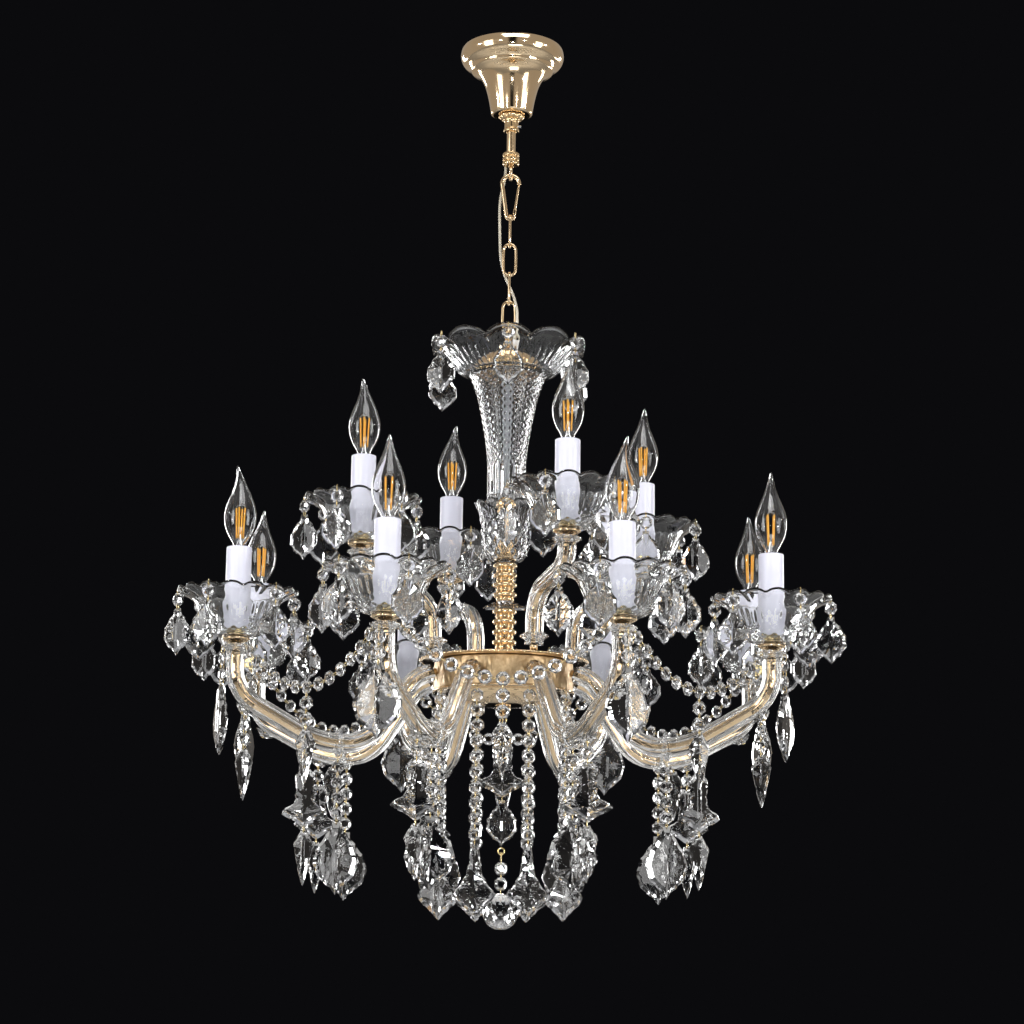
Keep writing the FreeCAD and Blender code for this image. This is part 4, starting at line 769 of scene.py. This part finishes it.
make_piece("crown_column_trumpet", turned(column_profile, 256, column_ripple), cut_glass, "frame",
           ["crown_column"])

cup_outside = curve_through([(9, -606.2), (14.5, -606.2), (19, -604), (24, -598.5), (27, -590), (28, -579),
                             (28.6, -566), (30.5, -553), (33.6, -543.5), (35.8, -538.6)], 8)
cup_inside = curve_through([(34.4, -537.6), (31, -541), (27.4, -551), (25.4, -565), (24.6, -579),
                            (23.4, -590), (19.6, -598), (14, -602.4), (9, -602.5), (5.4, -602.5),
                            (5.4, -606.2)], 5)
cup_profile = np.concatenate([cup_outside, cup_inside])


def cup_ripple(angle, radius, height, share):
    """Diamonds on the tulip's belly and twelve petals at its rim."""
    outer = share < len(cup_outside) / len(cup_profile)
    up = np.clip((height + 572) / 32, 0, 1)
    petal = petals(angle - FRONT, 12)
    belly = np.clip((height + 605) / 4, 0, 1) * (1 - up)
    cut = 1.8 * belly * (diamonds(angle, height / 13, 16) - 1) * outer
    return radius + cut - 2.4 * (1 - petal) * up, height - 4.5 * (1 - petal) * up ** 2


make_piece("tulip_cup", turned(cup_profile, 240, cup_ripple), cut_glass, "frame", ["glass_cup"])

# %% [markdown]
# ## Ruffled collars and crystal flowers
#
# Small glass collars hide each end of an arm. They are short turned rings whose edge waves in and out. The
# flowers pinned on the arms are two crowns of pointed petals, one above the other, and the star collar
# between the balusters is a larger one.

# %% Collars, star and flowers
def ruffle(count, depth, wave, reach):
    """An edge that goes in and out and up and down round the axis, and is still near the bore."""
    def ripple(angle, radius, height, share):
        edge = np.clip((radius / reach - 0.55) / 0.45, 0, 1)
        notch = 1 - petals(angle, count, 0.8)
        return radius - depth * notch * edge, height + wave * np.cos(count / 2 * angle) ** 2 * edge
    return ripple


def collar(bore, reach, low, high):
    """A short ring with a ruffled edge half way up, between two heights."""
    middle = (low + high) / 2
    profile = rounded_profile([(bore, low), (reach * 0.72, low), (reach * 0.8, middle - 1.6),
                               (reach, middle - 1.0), (reach, middle + 0.4), (reach * 0.84, middle + 1.2),
                               (reach * 0.74, high), (bore, high)], 1.2, 3)
    return turned(profile, 96, ruffle(16, 2.0, 1.2, reach))


around_lower = [place((0, 0, 0), angle) for angle in LOWER_ANGLES]
around_upper = [place((0, 0, 0), angle) for angle in UPPER_ANGLES]
low_spot = lower_line[np.argmin(np.abs(lower_line[:, 0] - 188))]
tilted = np.array([[0, 0, 1, low_spot[0]], [0, 1, 0, 0], [-1, 0, 0, -818]], float)
under_cup = collar(4.4, 16, -13.2, -6.4)
low_collar = copies(collar(10.4, 16, -3.5, 3.5), [tilted])
foot_collar = copies(collar(10.4, 16, 0, 7), [place((84.6, 0, -704.6))])
make_piece("arm_collar_ruffles", together(copies(under_cup, all_lights), copies(low_collar, around_lower),
                                          copies(foot_collar, around_upper)), pressed_glass, "frame",
           ["arm_collars"])


def flower(radius, thick, count, hole):
    """Two crowns of pointed petals: each is a ring of ridges and valleys, and the upper one is smaller and
    turned by half a petal. The points lie flat and the middle rises."""
    crowns = []
    for size, low, high, shift in ((1.0, 0.0, 0.55, 0.0), (0.66, 0.5, 1.0, 0.5)):
        angle = TURN * (np.arange(2 * count) / (2 * count) + shift / count)
        tip = np.arange(2 * count) % 2 == 0
        rings = []
        for reach, height in ((np.full(2 * count, hole), low),
                              (np.where(tip, radius, radius * 0.7) * size, low),
                              (np.where(tip, radius, radius * 0.66) * size * 0.98, low + 0.12),
                              (np.where(tip, radius * 0.55, radius * 0.4) * size, high),
                              (np.full(2 * count, hole), high * 0.8 + low * 0.2)):
            level = np.where(tip, height, height - 0.14 * (height > low)) * thick
            rings.append(np.stack([reach * np.cos(angle), reach * np.sin(angle), level], axis=1))
        crowns.append((np.concatenate(rings), [grid_faces(5, 2 * count, wrap_rows=True)]))
    return together(*crowns)


star = copies(flower(25.6, 6.8, 12, 5.4), [place((0, 0, -657.9))])
make_piece("star_collar_flower", star, crystal, "frame", ["star_collar"], smooth=False)
ROSETTE_SHARES = (0.94, 0.72)
dense_line = trimmed(lower_line, 0, 0, 0.8)
flower_places, pin_places = [], []
for share in ROSETTE_SHARES:
    spot_index = int(np.argmin(np.abs(dense_line[:, 0] - 308 * share)))
    spot = dense_line[spot_index]
    along = unit(dense_line[spot_index + 1] - dense_line[spot_index - 1])
    below = np.array([along[2], 0, -along[0]])
    seat_point = spot + below * 10.9
    turned_place = np.column_stack([along, np.cross(below, along), below, seat_point])
    pin_places.append(turned_place)
    for spin in around_lower:
        flower_places.append(np.column_stack([spin[:, :3] @ turned_place[:, :3], spin[:, :3] @ seat_point]))
make_piece("arm_flowers", copies(flower(11.8, 5, 8, 1.6), flower_places), crystal, "frame", ["rosettes"],
           smooth=False)
pin_head = turned(rounded_profile([(0.05, -0.6), (1.1, -0.6), (1.1, 5.2), (2.2, 5.4), (1.6, 6.3),
                                   (0.05, 6.4)],
                                  0.4), 16)
make_piece("flower_pins", copies(pin_head, flower_places), gold_wire, "frame", ["rosette_pins"])

# %% [markdown]
# ## Cut stones
#
# Every hanging stone is cut from a flat plate of crystal: a thin girdle with a wavy outline, a bright bevel
# inside it on both faces, and flat facets that run in to a ridge. The outline is a few points a side, so that
# the light breaks on real facets. Beads are small octagons, since they are repeated hundreds of times.

# %% Shape of a stone
def outline_from(half, wide, tall, count, waves, depth):
    """A closed outline from the (x, drop) points of its right half, as shares of the width and the height.
    It is read at evenly spaced points, and every other one is drawn in to make the cut edge wavy."""
    half = np.asarray(half, float)
    lengths = np.concatenate([[0], np.cumsum(np.linalg.norm(np.diff(half * [wide, tall], axis=0), axis=1))])
    stops = np.linspace(0, lengths[-1], count)
    x, drop = (np.interp(stops, lengths, half[:, k]) for k in (0, 1))
    x = x * wide - depth * np.abs(np.sin(np.pi * waves * stops / lengths[-1])) * (x > 0.12)
    right = np.stack([x, -drop * tall], axis=1)
    left = right[right[:, 0] > 0.01][::-1] * [-1, 1]
    return np.concatenate([right, left])[::-1]


def cut_stone(outline, thick, ridge, girdle=0.9, bevel=0.82):
    """A plate that hangs from the origin and faces -Y: back ridge, back bevel, girdle, front bevel, front
    ridge. The inner rings are the outline drawn towards the middle of the stone, or towards its ridge."""
    tall = -outline[:, 1].min()
    middle = np.array([0, -tall * (ridge[0] + ridge[1]) / 2])
    core = np.stack([0 * outline[:, 0], np.clip(outline[:, 1], -tall * ridge[1], -tall * ridge[0])], axis=1)
    inner = core + (outline - core) * 0.07
    edge = middle + (outline - middle) * bevel
    rings = []
    for flat, depth in ((inner, thick / 2), (edge, thick * 0.36), (outline, girdle / 2),
                        (outline, -girdle / 2), (edge, -thick * 0.36), (inner, -thick / 2)):
        rings.append(np.stack([flat[:, 0], np.full(len(flat), depth), flat[:, 1]], axis=1))
    count = len(outline)
    ends = np.stack([np.arange(count)[::-1], np.arange(count) + 5 * count])
    return np.concatenate(rings), [grid_faces(6, count), ends]


ALMOND = [(0.1, 0), (0.13, 0.07), (0.22, 0.16), (0.38, 0.3), (0.48, 0.45), (0.5, 0.58), (0.44, 0.7),
          (0.36, 0.79), (0.2, 0.87), (0.09, 0.93), (0.001, 1)]
KITE = [(0.07, 0), (0.1, 0.12), (0.16, 0.33), (0.22, 0.46), (0.33, 0.57), (0.5, 0.7), (0.4, 0.78),
        (0.3, 0.83), (0.14, 0.92), (0.001, 1)]
PLAQUE = [(0.1, 0), (0.2, 0.06), (0.23, 0.18), (0.19, 0.34), (0.2, 0.52), (0.28, 0.64), (0.5, 0.72),
          (0.42, 0.8), (0.24, 0.87), (0.12, 0.94), (0.001, 1)]
SPEAR = [(0.14, 0), (0.3, 0.1), (0.5, 0.24), (0.4, 0.42), (0.3, 0.6), (0.2, 0.8), (0.001, 1)]
stones = {
    "rim_drops": (cut_stone(outline_from(ALMOND, 36, 50, 16, 5, 1.5), 9.6, (0.42, 0.66)), 50),
    "large_drops": (cut_stone(outline_from(ALMOND, 55, 76, 20, 6, 2.2), 9.8, (0.4, 0.66)), 76),
    "hub_kites": (cut_stone(outline_from(KITE, 50, 78, 20, 7, 1.8), 9.8, (0.3, 0.74)), 78),
    "plaques": (cut_stone(outline_from(PLAQUE, 56, 62, 22, 9, 1.5), 9.8, (0.12, 0.74)), 62),
    "spears": (cut_stone(outline_from(SPEAR, 24, 58, 12, 4, 0.6), 9.6, (0.2, 0.7)), 58),
}
octagon = 14 * np.array([(0.21, 0), (0.5, -0.29), (0.5, -0.71), (0.21, -1), (-0.21, -1), (-0.5, -0.71),
                         (-0.5, -0.29), (-0.21, 0)])[::-1]
between = (octagon + np.roll(octagon, -1, axis=0)) / 2
bead_rings = [np.stack([ring[:, 0] * size, np.full(8, depth), -7 + (ring[:, 1] + 7) * size], axis=1)
              for ring, size, depth in ((octagon, 0.42, 3.45), (between, 0.8, 2.3), (octagon, 1, 0.5),
                                        (octagon, 1, -0.5), (between, 0.8, -2.3), (octagon, 0.42, -3.45))]
bead_ends = np.stack([np.arange(8)[::-1], np.arange(8) + 40])
bead = (np.concatenate(bead_rings), [grid_faces(6, 8), bead_ends])
CLIP_STEP = 2.6
clip_angle = TURN * np.arange(10) / 10
clip_line = np.stack([0 * clip_angle, 1.9 * np.cos(clip_angle), -1 + 4.3 * np.sin(clip_angle)], axis=1)
wire_clip = bar_along(clip_line, 0.42, 4, (1, 0, 0), closed=True)
print({label: len(shape[1][0]) + 2 for label, (shape, tall) in stones.items()}, "faces a stone")

# %% [markdown]
# ## Where the stones hang
#
# A chain of stones hangs straight down from a point. The free ones look nearly to the front. Each stone is
# turned a few degrees about its own string, as hanging stones are, so that no two catch the light alike. No
# drop hangs before the candle of a drip cup. The swags between the arms sag in a parabola.

# %% Collect every place
found = {label: [] for label in [*stones, "rim_beads", "strand_beads", "swag_beads", "trim_clips"]}
MOST_TURN = 7                   # degrees that a stone may turn about its own string
OUTWARD = 0.35                  # how far a free stone turns from the front to its own side
BEAD_TALL = 14
LOWER_REACH, LOWER_TOP = 308, -713                      # the stud at the end of a lower arm
UPPER_REACH, UPPER_TOP = 170, -599
RIM_REACH, RIM_LIFT = 63.3, 50.3                        # a drop at a drip cup's rim, from its arm's stud
DISH_REACH, DISH_FOOT = 86.5, -354.1                    # a drop at the crown dish's rim
PAST_GLASS, LOW_COLLAR_FOOT = 322.2, -834               # strands past an arm's glass and under its low collar
FLANGE_REACH, FLANGE_FOOT = 74, -754.2                  # strands under the flange of the hub's bowl
LEFT_RIM = (-22.5, -67.5, -112.5, 180, 112.5, 45)


def nearly_front(angle):
    """The way a free stone looks, in degrees: to front or back, turned part of the way to its own side."""
    return OUTWARD * ((angle + 180) % 180 - 90) - 90


def hang(top, angle, chain):
    """Stones and clips down from a point; returns the height where the chain ends."""
    height = top[2]
    for label in chain:
        found["trim_clips"].append(place((top[0], top[1], height - 0.3), angle + 90))
        height -= CLIP_STEP
        twist = chance.uniform(-MOST_TURN, MOST_TURN)
        found[label].append(place((top[0], top[1], height), angle + 90 + twist))
        height -= stones[label][1] if label in stones else BEAD_TALL
    return height


for reach, end, angles in ((LOWER_REACH, LOWER_TOP, LOWER_ANGLES), (UPPER_REACH, UPPER_TOP, UPPER_ANGLES)):
    for angle in angles:
        centre = polar(reach, angle, 0)
        for turn in LEFT_RIM:
            spot = angle + (turn if centre[0] < 0 else -turn)
            hang(centre + polar(RIM_REACH, spot, end + RIM_LIFT), nearly_front(spot),
                 ["rim_beads", "rim_drops"])
for spot in range(30, 390, 60):
    hang(polar(DISH_REACH, spot, DISH_FOOT), nearly_front(spot), ["rim_beads", "rim_drops"])
COLLAR_FOOT = -726.3
pin_tip = pin_places[1] @ np.array([0, 0, 16.2 - 10.9, 1])
for angle in LOWER_ANGLES:
    hang(polar(PAST_GLASS, angle, COLLAR_FOOT), angle, ["strand_beads", "strand_beads", "large_drops"])
    facing = nearly_front(angle)
    hang(polar(low_spot[0], angle, LOW_COLLAR_FOOT), facing, ["strand_beads"] * 4 + ["large_drops"])
    hang(polar(pin_tip[0], angle, pin_tip[2] - 0.9), facing, ["strand_beads", "plaques", "spears"])
    hang(polar(FLANGE_REACH, angle, FLANGE_FOOT), facing, ["strand_beads"] * 10 + ["hub_kites"])

SWAG_SAG, SWAG_BEADS, SWAG_REACH = 52, 13, 16.9
for angle in LOWER_ANGLES:
    start = polar(LOWER_REACH, angle, COLLAR_FOOT + 3.5) + polar(SWAG_REACH, angle + 112.5, 0)
    finish = polar(LOWER_REACH, angle + 45, COLLAR_FOOT + 3.5) + polar(SWAG_REACH, angle - 67.5, 0)
    share = np.linspace(0, 1, 401)[:, None]
    line = start + (finish - start) * share - np.array([0, 0, 4 * SWAG_SAG]) * share * (1 - share)
    lengths = np.concatenate([[0], np.cumsum(np.linalg.norm(np.diff(line, axis=0), axis=1))])
    pitch = lengths[-1] / SWAG_BEADS

    def at(distance):
        point = np.array([np.interp(distance, lengths, line[:, k]) for k in range(3)])
        ahead = np.array([np.interp(distance + 0.5, lengths, line[:, k]) for k in range(3)])
        behind = np.array([np.interp(distance - 0.5, lengths, line[:, k]) for k in range(3)])
        return point, unit(ahead - behind)

    across = unit(np.cross([0, 0, 1.0], finish - start))
    for k in range(SWAG_BEADS):
        point, along = at(pitch * (k + 0.5))
        columns = [np.cross(across, -along), across, -along]
        found["swag_beads"].append(np.column_stack([*columns, point - along * BEAD_TALL / 2]))
    for k in range(SWAG_BEADS + 1):
        point, along = at(pitch * k)
        inward = {0: 2.2, SWAG_BEADS: -2.2}.get(k, 0)
        columns = [np.cross(across, -along), across, -along]
        found["trim_clips"].append(np.column_stack([*columns, point + along * (inward - 1)]))
    lowest = at(lengths[-1] / 2)[0]
    hang(lowest - [0, 0, 7], nearly_front(angle + 22.5), ["strand_beads", "strand_beads", "spears"])
print({label: len(spots) for label, spots in found.items()})

# %% Set the stones
for label, (shape, tall) in stones.items():
    make_piece(label + "_cut", copies(shape, found[label]), stone_glass, "frame", [label],
               smooth=False)
for label in ("rim_beads", "strand_beads", "swag_beads"):
    make_piece(label + "_cut", copies(bead, found[label]), crystal, "frame", [label], smooth=False)
make_piece("wire_clips", copies(wire_clip, found["trim_clips"]), gold_wire, "frame", ["trim_clips"])

# %% [markdown]
# ## The centre drop and the ball
#
# Under the hub hang a bead, a winged plaque and an almond, on a ring that swings in the hub's eye. The ball
# below swings on a ring of its own. It is cut like a mirror ball: bands of flat facets, each band shifted by
# half a facet.

# %% Centre stones and ball
RING_Z, LOW_RING_Z, BALL_RING_Z = -783.1, -926.6, -931.7
drop_stones, drop_clips, ball_beads, ball_clips = [], [], [], []


def centre_chain(height, chain, stone_list, clip_list):
    """Stones and clips down the Z axis from a height; returns the height where they end."""
    for shape, tall in chain:
        clip_list.append(copies(wire_clip, [place((0, 0, height - 0.3))]))
        height -= CLIP_STEP
        stone_list.append(copies(shape, [place((0, 0, height))]))
        height -= tall
    return height


centre_chain(RING_Z - 4.3, [(bead, 14), stones["plaques"], stones["rim_drops"]], drop_stones, drop_clips)
small_ring = bar_along(ring_line(3.5, 0, 24), 0.8, 8, (1, 0, 0), closed=True)
quarter = place((0, 0, 0), 90)
for height in (RING_Z, LOW_RING_Z):
    drop_clips.append(copies(small_ring, [quarter + place((0, 0, height)) - place((0, 0, 0))]))
make_piece("centre_stones_cut", together(*drop_stones), stone_glass, "centre_drop", ["centre_stones"],
           smooth=False)
make_piece("centre_wire", together(*drop_clips), gold_wire, "centre_drop", ["centre_clips"])
ball_foot = centre_chain(BALL_RING_Z - 4.3, [(bead, 14), (bead, 14)], ball_beads, ball_clips)
ball_clips.append(copies(small_ring, [place((0, 0, BALL_RING_Z))]))
ball_clips.append(copies(wire_clip, [place((0, 0, ball_foot - 0.3))]))
make_piece("ball_beads_cut", together(*ball_beads), crystal, "ball", ["ball_chain"], smooth=False)
make_piece("ball_wire", together(*ball_clips), gold_wire, "ball")

BALL_CENTRE, BALL_RADIUS, BANDS, FACETS = -991.8, 20.0, 11, 18
band = np.linspace(-np.pi / 2, np.pi / 2, BANDS + 2)[1:-1, None]
turn = TURN * (np.arange(FACETS)[None, :] + 0.5 * (np.arange(BANDS)[:, None] % 2)) / FACETS
ball = np.stack([np.cos(band) * np.cos(turn), np.cos(band) * np.sin(turn), np.sin(band) + 0 * turn], axis=-1)
ball = ball.reshape(-1, 3) * BALL_RADIUS + [0, 0, BALL_CENTRE]
upper = np.arange(FACETS) + FACETS * np.arange(1, BANDS)[:, None]
lower = upper - FACETS
upper_next, lower_next = np.roll(upper, -1, axis=1), np.roll(lower, -1, axis=1)
shifted = (np.arange(BANDS - 1) % 2 == 1)[:, None]
first = np.where(shifted[..., None], np.stack([lower, upper_next, upper], -1),
                 np.stack([lower, lower_next, upper], -1))
second = np.where(shifted[..., None], np.stack([lower, lower_next, upper_next], -1),
                  np.stack([lower_next, upper_next, upper], -1))
caps = np.stack([np.arange(FACETS)[::-1], np.arange(FACETS) + FACETS * (BANDS - 1)])
make_piece("ball_cut", (ball, [first.reshape(-1, 3), second.reshape(-1, 3), caps]), stone_glass, "ball",
           ["bottom_ball"], smooth=False)

# %% [markdown]
# ## Candles and bulbs
#
# A white plastic tube makes the candle. The bulb in it is blown thin, with a tip bent over like a flame in a
# draught, and inside it stand four amber rods: strings of tiny lamps on a glass strip, dipped in a coloured
# gel. The glass is one closed skin outside and one inside, so that light bends twice, as it does in a real
# bulb. Heights here count from the top of the arm's stud.

# %% Sleeves and saucers
sleeve = turned(rounded_profile([(10.8, 10), (13.5, 10), (13.5, 98), (10.8, 98)], 1.0, 6), 64)
make_piece("white_candle_sleeves", copies(sleeve, all_lights), white_sleeve, "frame", ["candle_sleeves"])
saucer_profile = rounded_profile([(4.4, -6), (7, -6), (8.5, -4.8), (12, -3.4), (15, -1.6), (15, -0.2),
                                  (13.8, 0), (4.4, 0)], 0.9)
make_piece("cup_saucers", copies(turned(saucer_profile, 48), all_lights), champagne_gold, "frame",
           ["arm_seats"])

# %% Bulbs
BULB_HEIGHTS = [97, 99, 102, 106, 112, 119, 126, 131, 137, 144, 152, 160, 168, 175, 181, 185, 186.8]
BULB_RADII = [6.2, 6.6, 7.4, 9.6, 13.0, 15.8, 17.2, 17.5, 17.0, 15.3, 12.3, 8.9, 5.9, 3.8, 2.3, 1.3, 0.5]


def bulb_line(drop):
    """The skin of the bulb: its height and radius are one smooth line, drawn in by `drop` millimetres, and
    its middle bends sideways with the square of the height above the widest part."""
    line = curve_through(np.stack([BULB_HEIGHTS, BULB_RADII], axis=1), 3)
    height, radius = line[:, 0], line[:, 1]
    inner = np.maximum(radius - drop, 0.15)
    height = height + drop * np.linspace(1, -4, len(height))
    bend = 5.5 * np.clip((height - 146) / 41, 0, 1) ** 2
    return np.stack([bend, 0 * bend, height], axis=1), np.repeat(inner[:, None], 32, axis=1)


def turned_round(shape):
    """The same shape with its faces the other way round, as the inside of a hollow has."""
    points, faces = shape
    return points, [group[:, ::-1] for group in faces]


outer_skin = bar_along(*bulb_line(0.0), 32)
inner_skin = turned_round(bar_along(*bulb_line(0.7), 32))
bulb_places = [np.column_stack([place((0, 0, 0), chance.uniform(0, 360))[:, :3], spot[:, 3]])
               for spot in all_lights]
make_piece("bulb_skins", copies(together(outer_skin, inner_skin), bulb_places), bulb_glass, "frame",
           ["bulbs"])
thread_height = np.linspace(73.5, 96.5, 47)
thread = np.stack([6.7 + 0.3 * np.cos(TURN * thread_height / 3.8), thread_height], axis=1)
cap = turned(np.concatenate([[(0.4, 72.9), (4, 72.9)], thread,
                             [(6.9, 97.2), (6.9, 99.2), (6.3, 99.2), (6.1, 96.8),
                                                               (0.4, 96.6)]]), 40)
make_piece("bulb_caps", copies(cap, bulb_places), zinc_steel, "frame")
stem_shape = turned(rounded_profile([(0.2, 97.2), (4.6, 97.2), (3.2, 101), (1.7, 106), (1.3, 112),
                                     (0.2, 113)],
                                    0.8), 24)
rods, wires = [], []
for k in range(4):
    turn_by = place((0, 0, 0), 45 + 90 * k)[:, :3]
    rod = np.linspace([3.6, 0, 108], [4.9, 0, 141], 5)
    rods.append(bar_along(rod @ turn_by.T, 0.95, 10))
    low_wire = curve_through([(1.2, 0, 105), (2.6, 0, 105.6), (3.5, 0, 107), (3.62, 0, 108.4)], 3)
    top_wire = curve_through([(4.88, 0, 140.6), (4.6, 0, 142.6), (3, 0, 143.8), (0, 0, 144.2)], 3)
    wires += [bar_along(np.asarray(line) @ turn_by.T, 0.28, 6) for line in (low_wire, top_wire)]
make_piece("bulb_stems", copies(stem_shape, bulb_places), bulb_glass, "frame")
make_piece("bulb_wires", copies(together(*wires), bulb_places), zinc_steel, "frame")
# The rods are unlit. A faint painted glow in their own amber stands in for the light that the bulb glass
# keeps off them.
amber_gel_painted_glow, shader = new_material("amber_gel_rods_painted_glow", "#F2AE3C", 0.4, Emission_Strength=0.3)
shader.inputs["Emission Color"].default_value = colour("#F2AE3C")
patchy(amber_gel_painted_glow, shader, 1.0, "#FFBE4A", "#EBA02C")
relief(amber_gel_painted_glow, shader, 1.2, 0.1)
make_piece("amber_rods_painted_glow", copies(together(*rods), bulb_places), amber_gel_painted_glow, "frame")

# %% [markdown]
# ## Pieces that keep their CAD shape
#
# The bracket, nuts, rod, wiring parts and lampholders are right as they were packed. They only get the
# finish of the real thing.

# %% Finish the kept pieces
KEPT = {
    zinc_steel: ["ceiling_bracket", "stem_nut", "collar_screw", "centre_rod"],
    moulded_white: ["terminal_block", "cable_gland", "lampholders", "lamp_leads"],
    gold_wire: ["gate_rivet", "bobeche_nuts"],
    turned_gold: ["cup_spacer"],
}
for material, labels in KEPT.items():
    for label in labels:
        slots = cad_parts[label].material_slots
        for slot in slots:
            slot.material = material
        print(label, "has", len(slots), "finish of", material.name)

# %% [markdown]
# ## Light, floor and backdrop
#
# Crystal shows its cuts only if bright panels stand beside it and darkness behind it: each facet then picks
# out either the one or the other. So soft panels stand left, right, above and behind, and small ones make the
# glints. The camera sees a black backdrop. Rays mirrored by the metal see a grey studio with a dark gap
# along its middle. Rays that go nearly level through the glass see the same black backdrop as the camera,
# from every side, and steep ones see a pale ceiling and floor. Rough surfaces get a soft grey fill. A pale
# floor lies far below, as in a room.

# %% Panels
LAMP_MIDDLE = Matrix.Translation((0, 0, -0.6)).translation


def panel(name, spot, wide, tall, watts):
    """A soft panel that faces the middle of the lamp."""
    data = bpy.data.lights.new(name, "AREA")
    data.shape, data.size, data.size_y, data.energy = "RECTANGLE", wide, tall, watts
    lamp = bpy.data.objects.new(name, data)
    bpy.context.scene.collection.objects.link(lamp)
    facing = (LAMP_MIDDLE - Matrix.Translation(spot).translation).to_track_quat("-Z", "Y")
    lamp.matrix_world = Matrix.Translation(spot) @ facing.to_matrix().to_4x4()
    lamp.visible_camera = False


panel("panel_left", (-2.3, -1.7, -0.3), 1.0, 1.9, 20)
panel("panel_right", (2.4, -1.4, -0.5), 0.8, 1.9, 15)
panel("panel_top", (0.2, -1.3, 1.3), 1.6, 0.9, 18)
panel("panel_low", (0.3, -2.2, -2.0), 1.4, 0.5, 10)
panel("panel_back_left", (-1.5, 2.0, -0.4), 0.35, 1.5, 18)
panel("panel_back_right", (1.7, 1.8, -0.7), 0.35, 1.5, 18)
for k in range(7):
    spot = polar(2.6, -165 + 25 * k, 0.15 - 0.9 * (k % 2))
    panel(f"glint_{k + 1}", tuple(spot), 0.12, 0.12, 7)

# %% Floor and sky
floor_mesh = bpy.data.meshes.new("floor")
floor_mesh.from_pydata([(-4, -4, -2.4), (4, -4, -2.4), (4, 4, -2.4), (-4, 4, -2.4)], [], [(0, 1, 2, 3)])
floor = bpy.data.objects.new("floor", floor_mesh)
bpy.context.scene.collection.objects.link(floor)
pale_floor, shader = new_material("matt_painted_floor", "#D9D8D5", 0.8)
floor_mesh.materials.append(pale_floor)

world = bpy.data.worlds.new("studio")
bpy.context.scene.world = world
world.use_nodes = True
sky = world.node_tree.nodes["Background"]
path = add_node(world, "ShaderNodeLightPath")
direction = add_node(world, "ShaderNodeTexCoord").outputs["Generated"]
parts = add_node(world, "ShaderNodeSeparateXYZ", {"Vector": direction})
aside = add_node(world, "ShaderNodeMath", {0: parts.outputs["X"]}, operation="ABSOLUTE").outputs[0]
past_gap = add_node(world, "ShaderNodeMapRange",
                    {"Value": aside, "From Min": 0.1, "From Max": 0.2}).outputs[0]
steep = add_node(world, "ShaderNodeMath", {0: parts.outputs["Z"]}, operation="ABSOLUTE").outputs[0]
overhead = add_node(world, "ShaderNodeMapRange",
                    {"Value": steep, "From Min": 0.35, "From Max": 0.7}).outputs[0]
BACKDROP = colour("#0B0B0D")
mirrored = add_node(world, "ShaderNodeMix", {"Factor": past_gap, "A": BACKDROP, "B": colour("#A39C94")},
                    data_type="RGBA").outputs["Result"]
bent = add_node(world, "ShaderNodeMix", {"Factor": overhead, "A": BACKDROP, "B": colour("#B4B4B6")},
                data_type="RGBA").outputs["Result"]
view = colour("#8C8C8E")
for ray, seen in (("Is Glossy Ray", mirrored), ("Is Transmission Ray", bent), ("Is Camera Ray", BACKDROP)):
    mix = add_node(world, "ShaderNodeMix", {"Factor": path.outputs[ray], "A": view, "B": seen},
                   data_type="RGBA")
    view = mix.outputs["Result"]
world.node_tree.links.new(view, sky.inputs["Color"])
bpy.context.scene.view_settings.view_transform = "Standard"
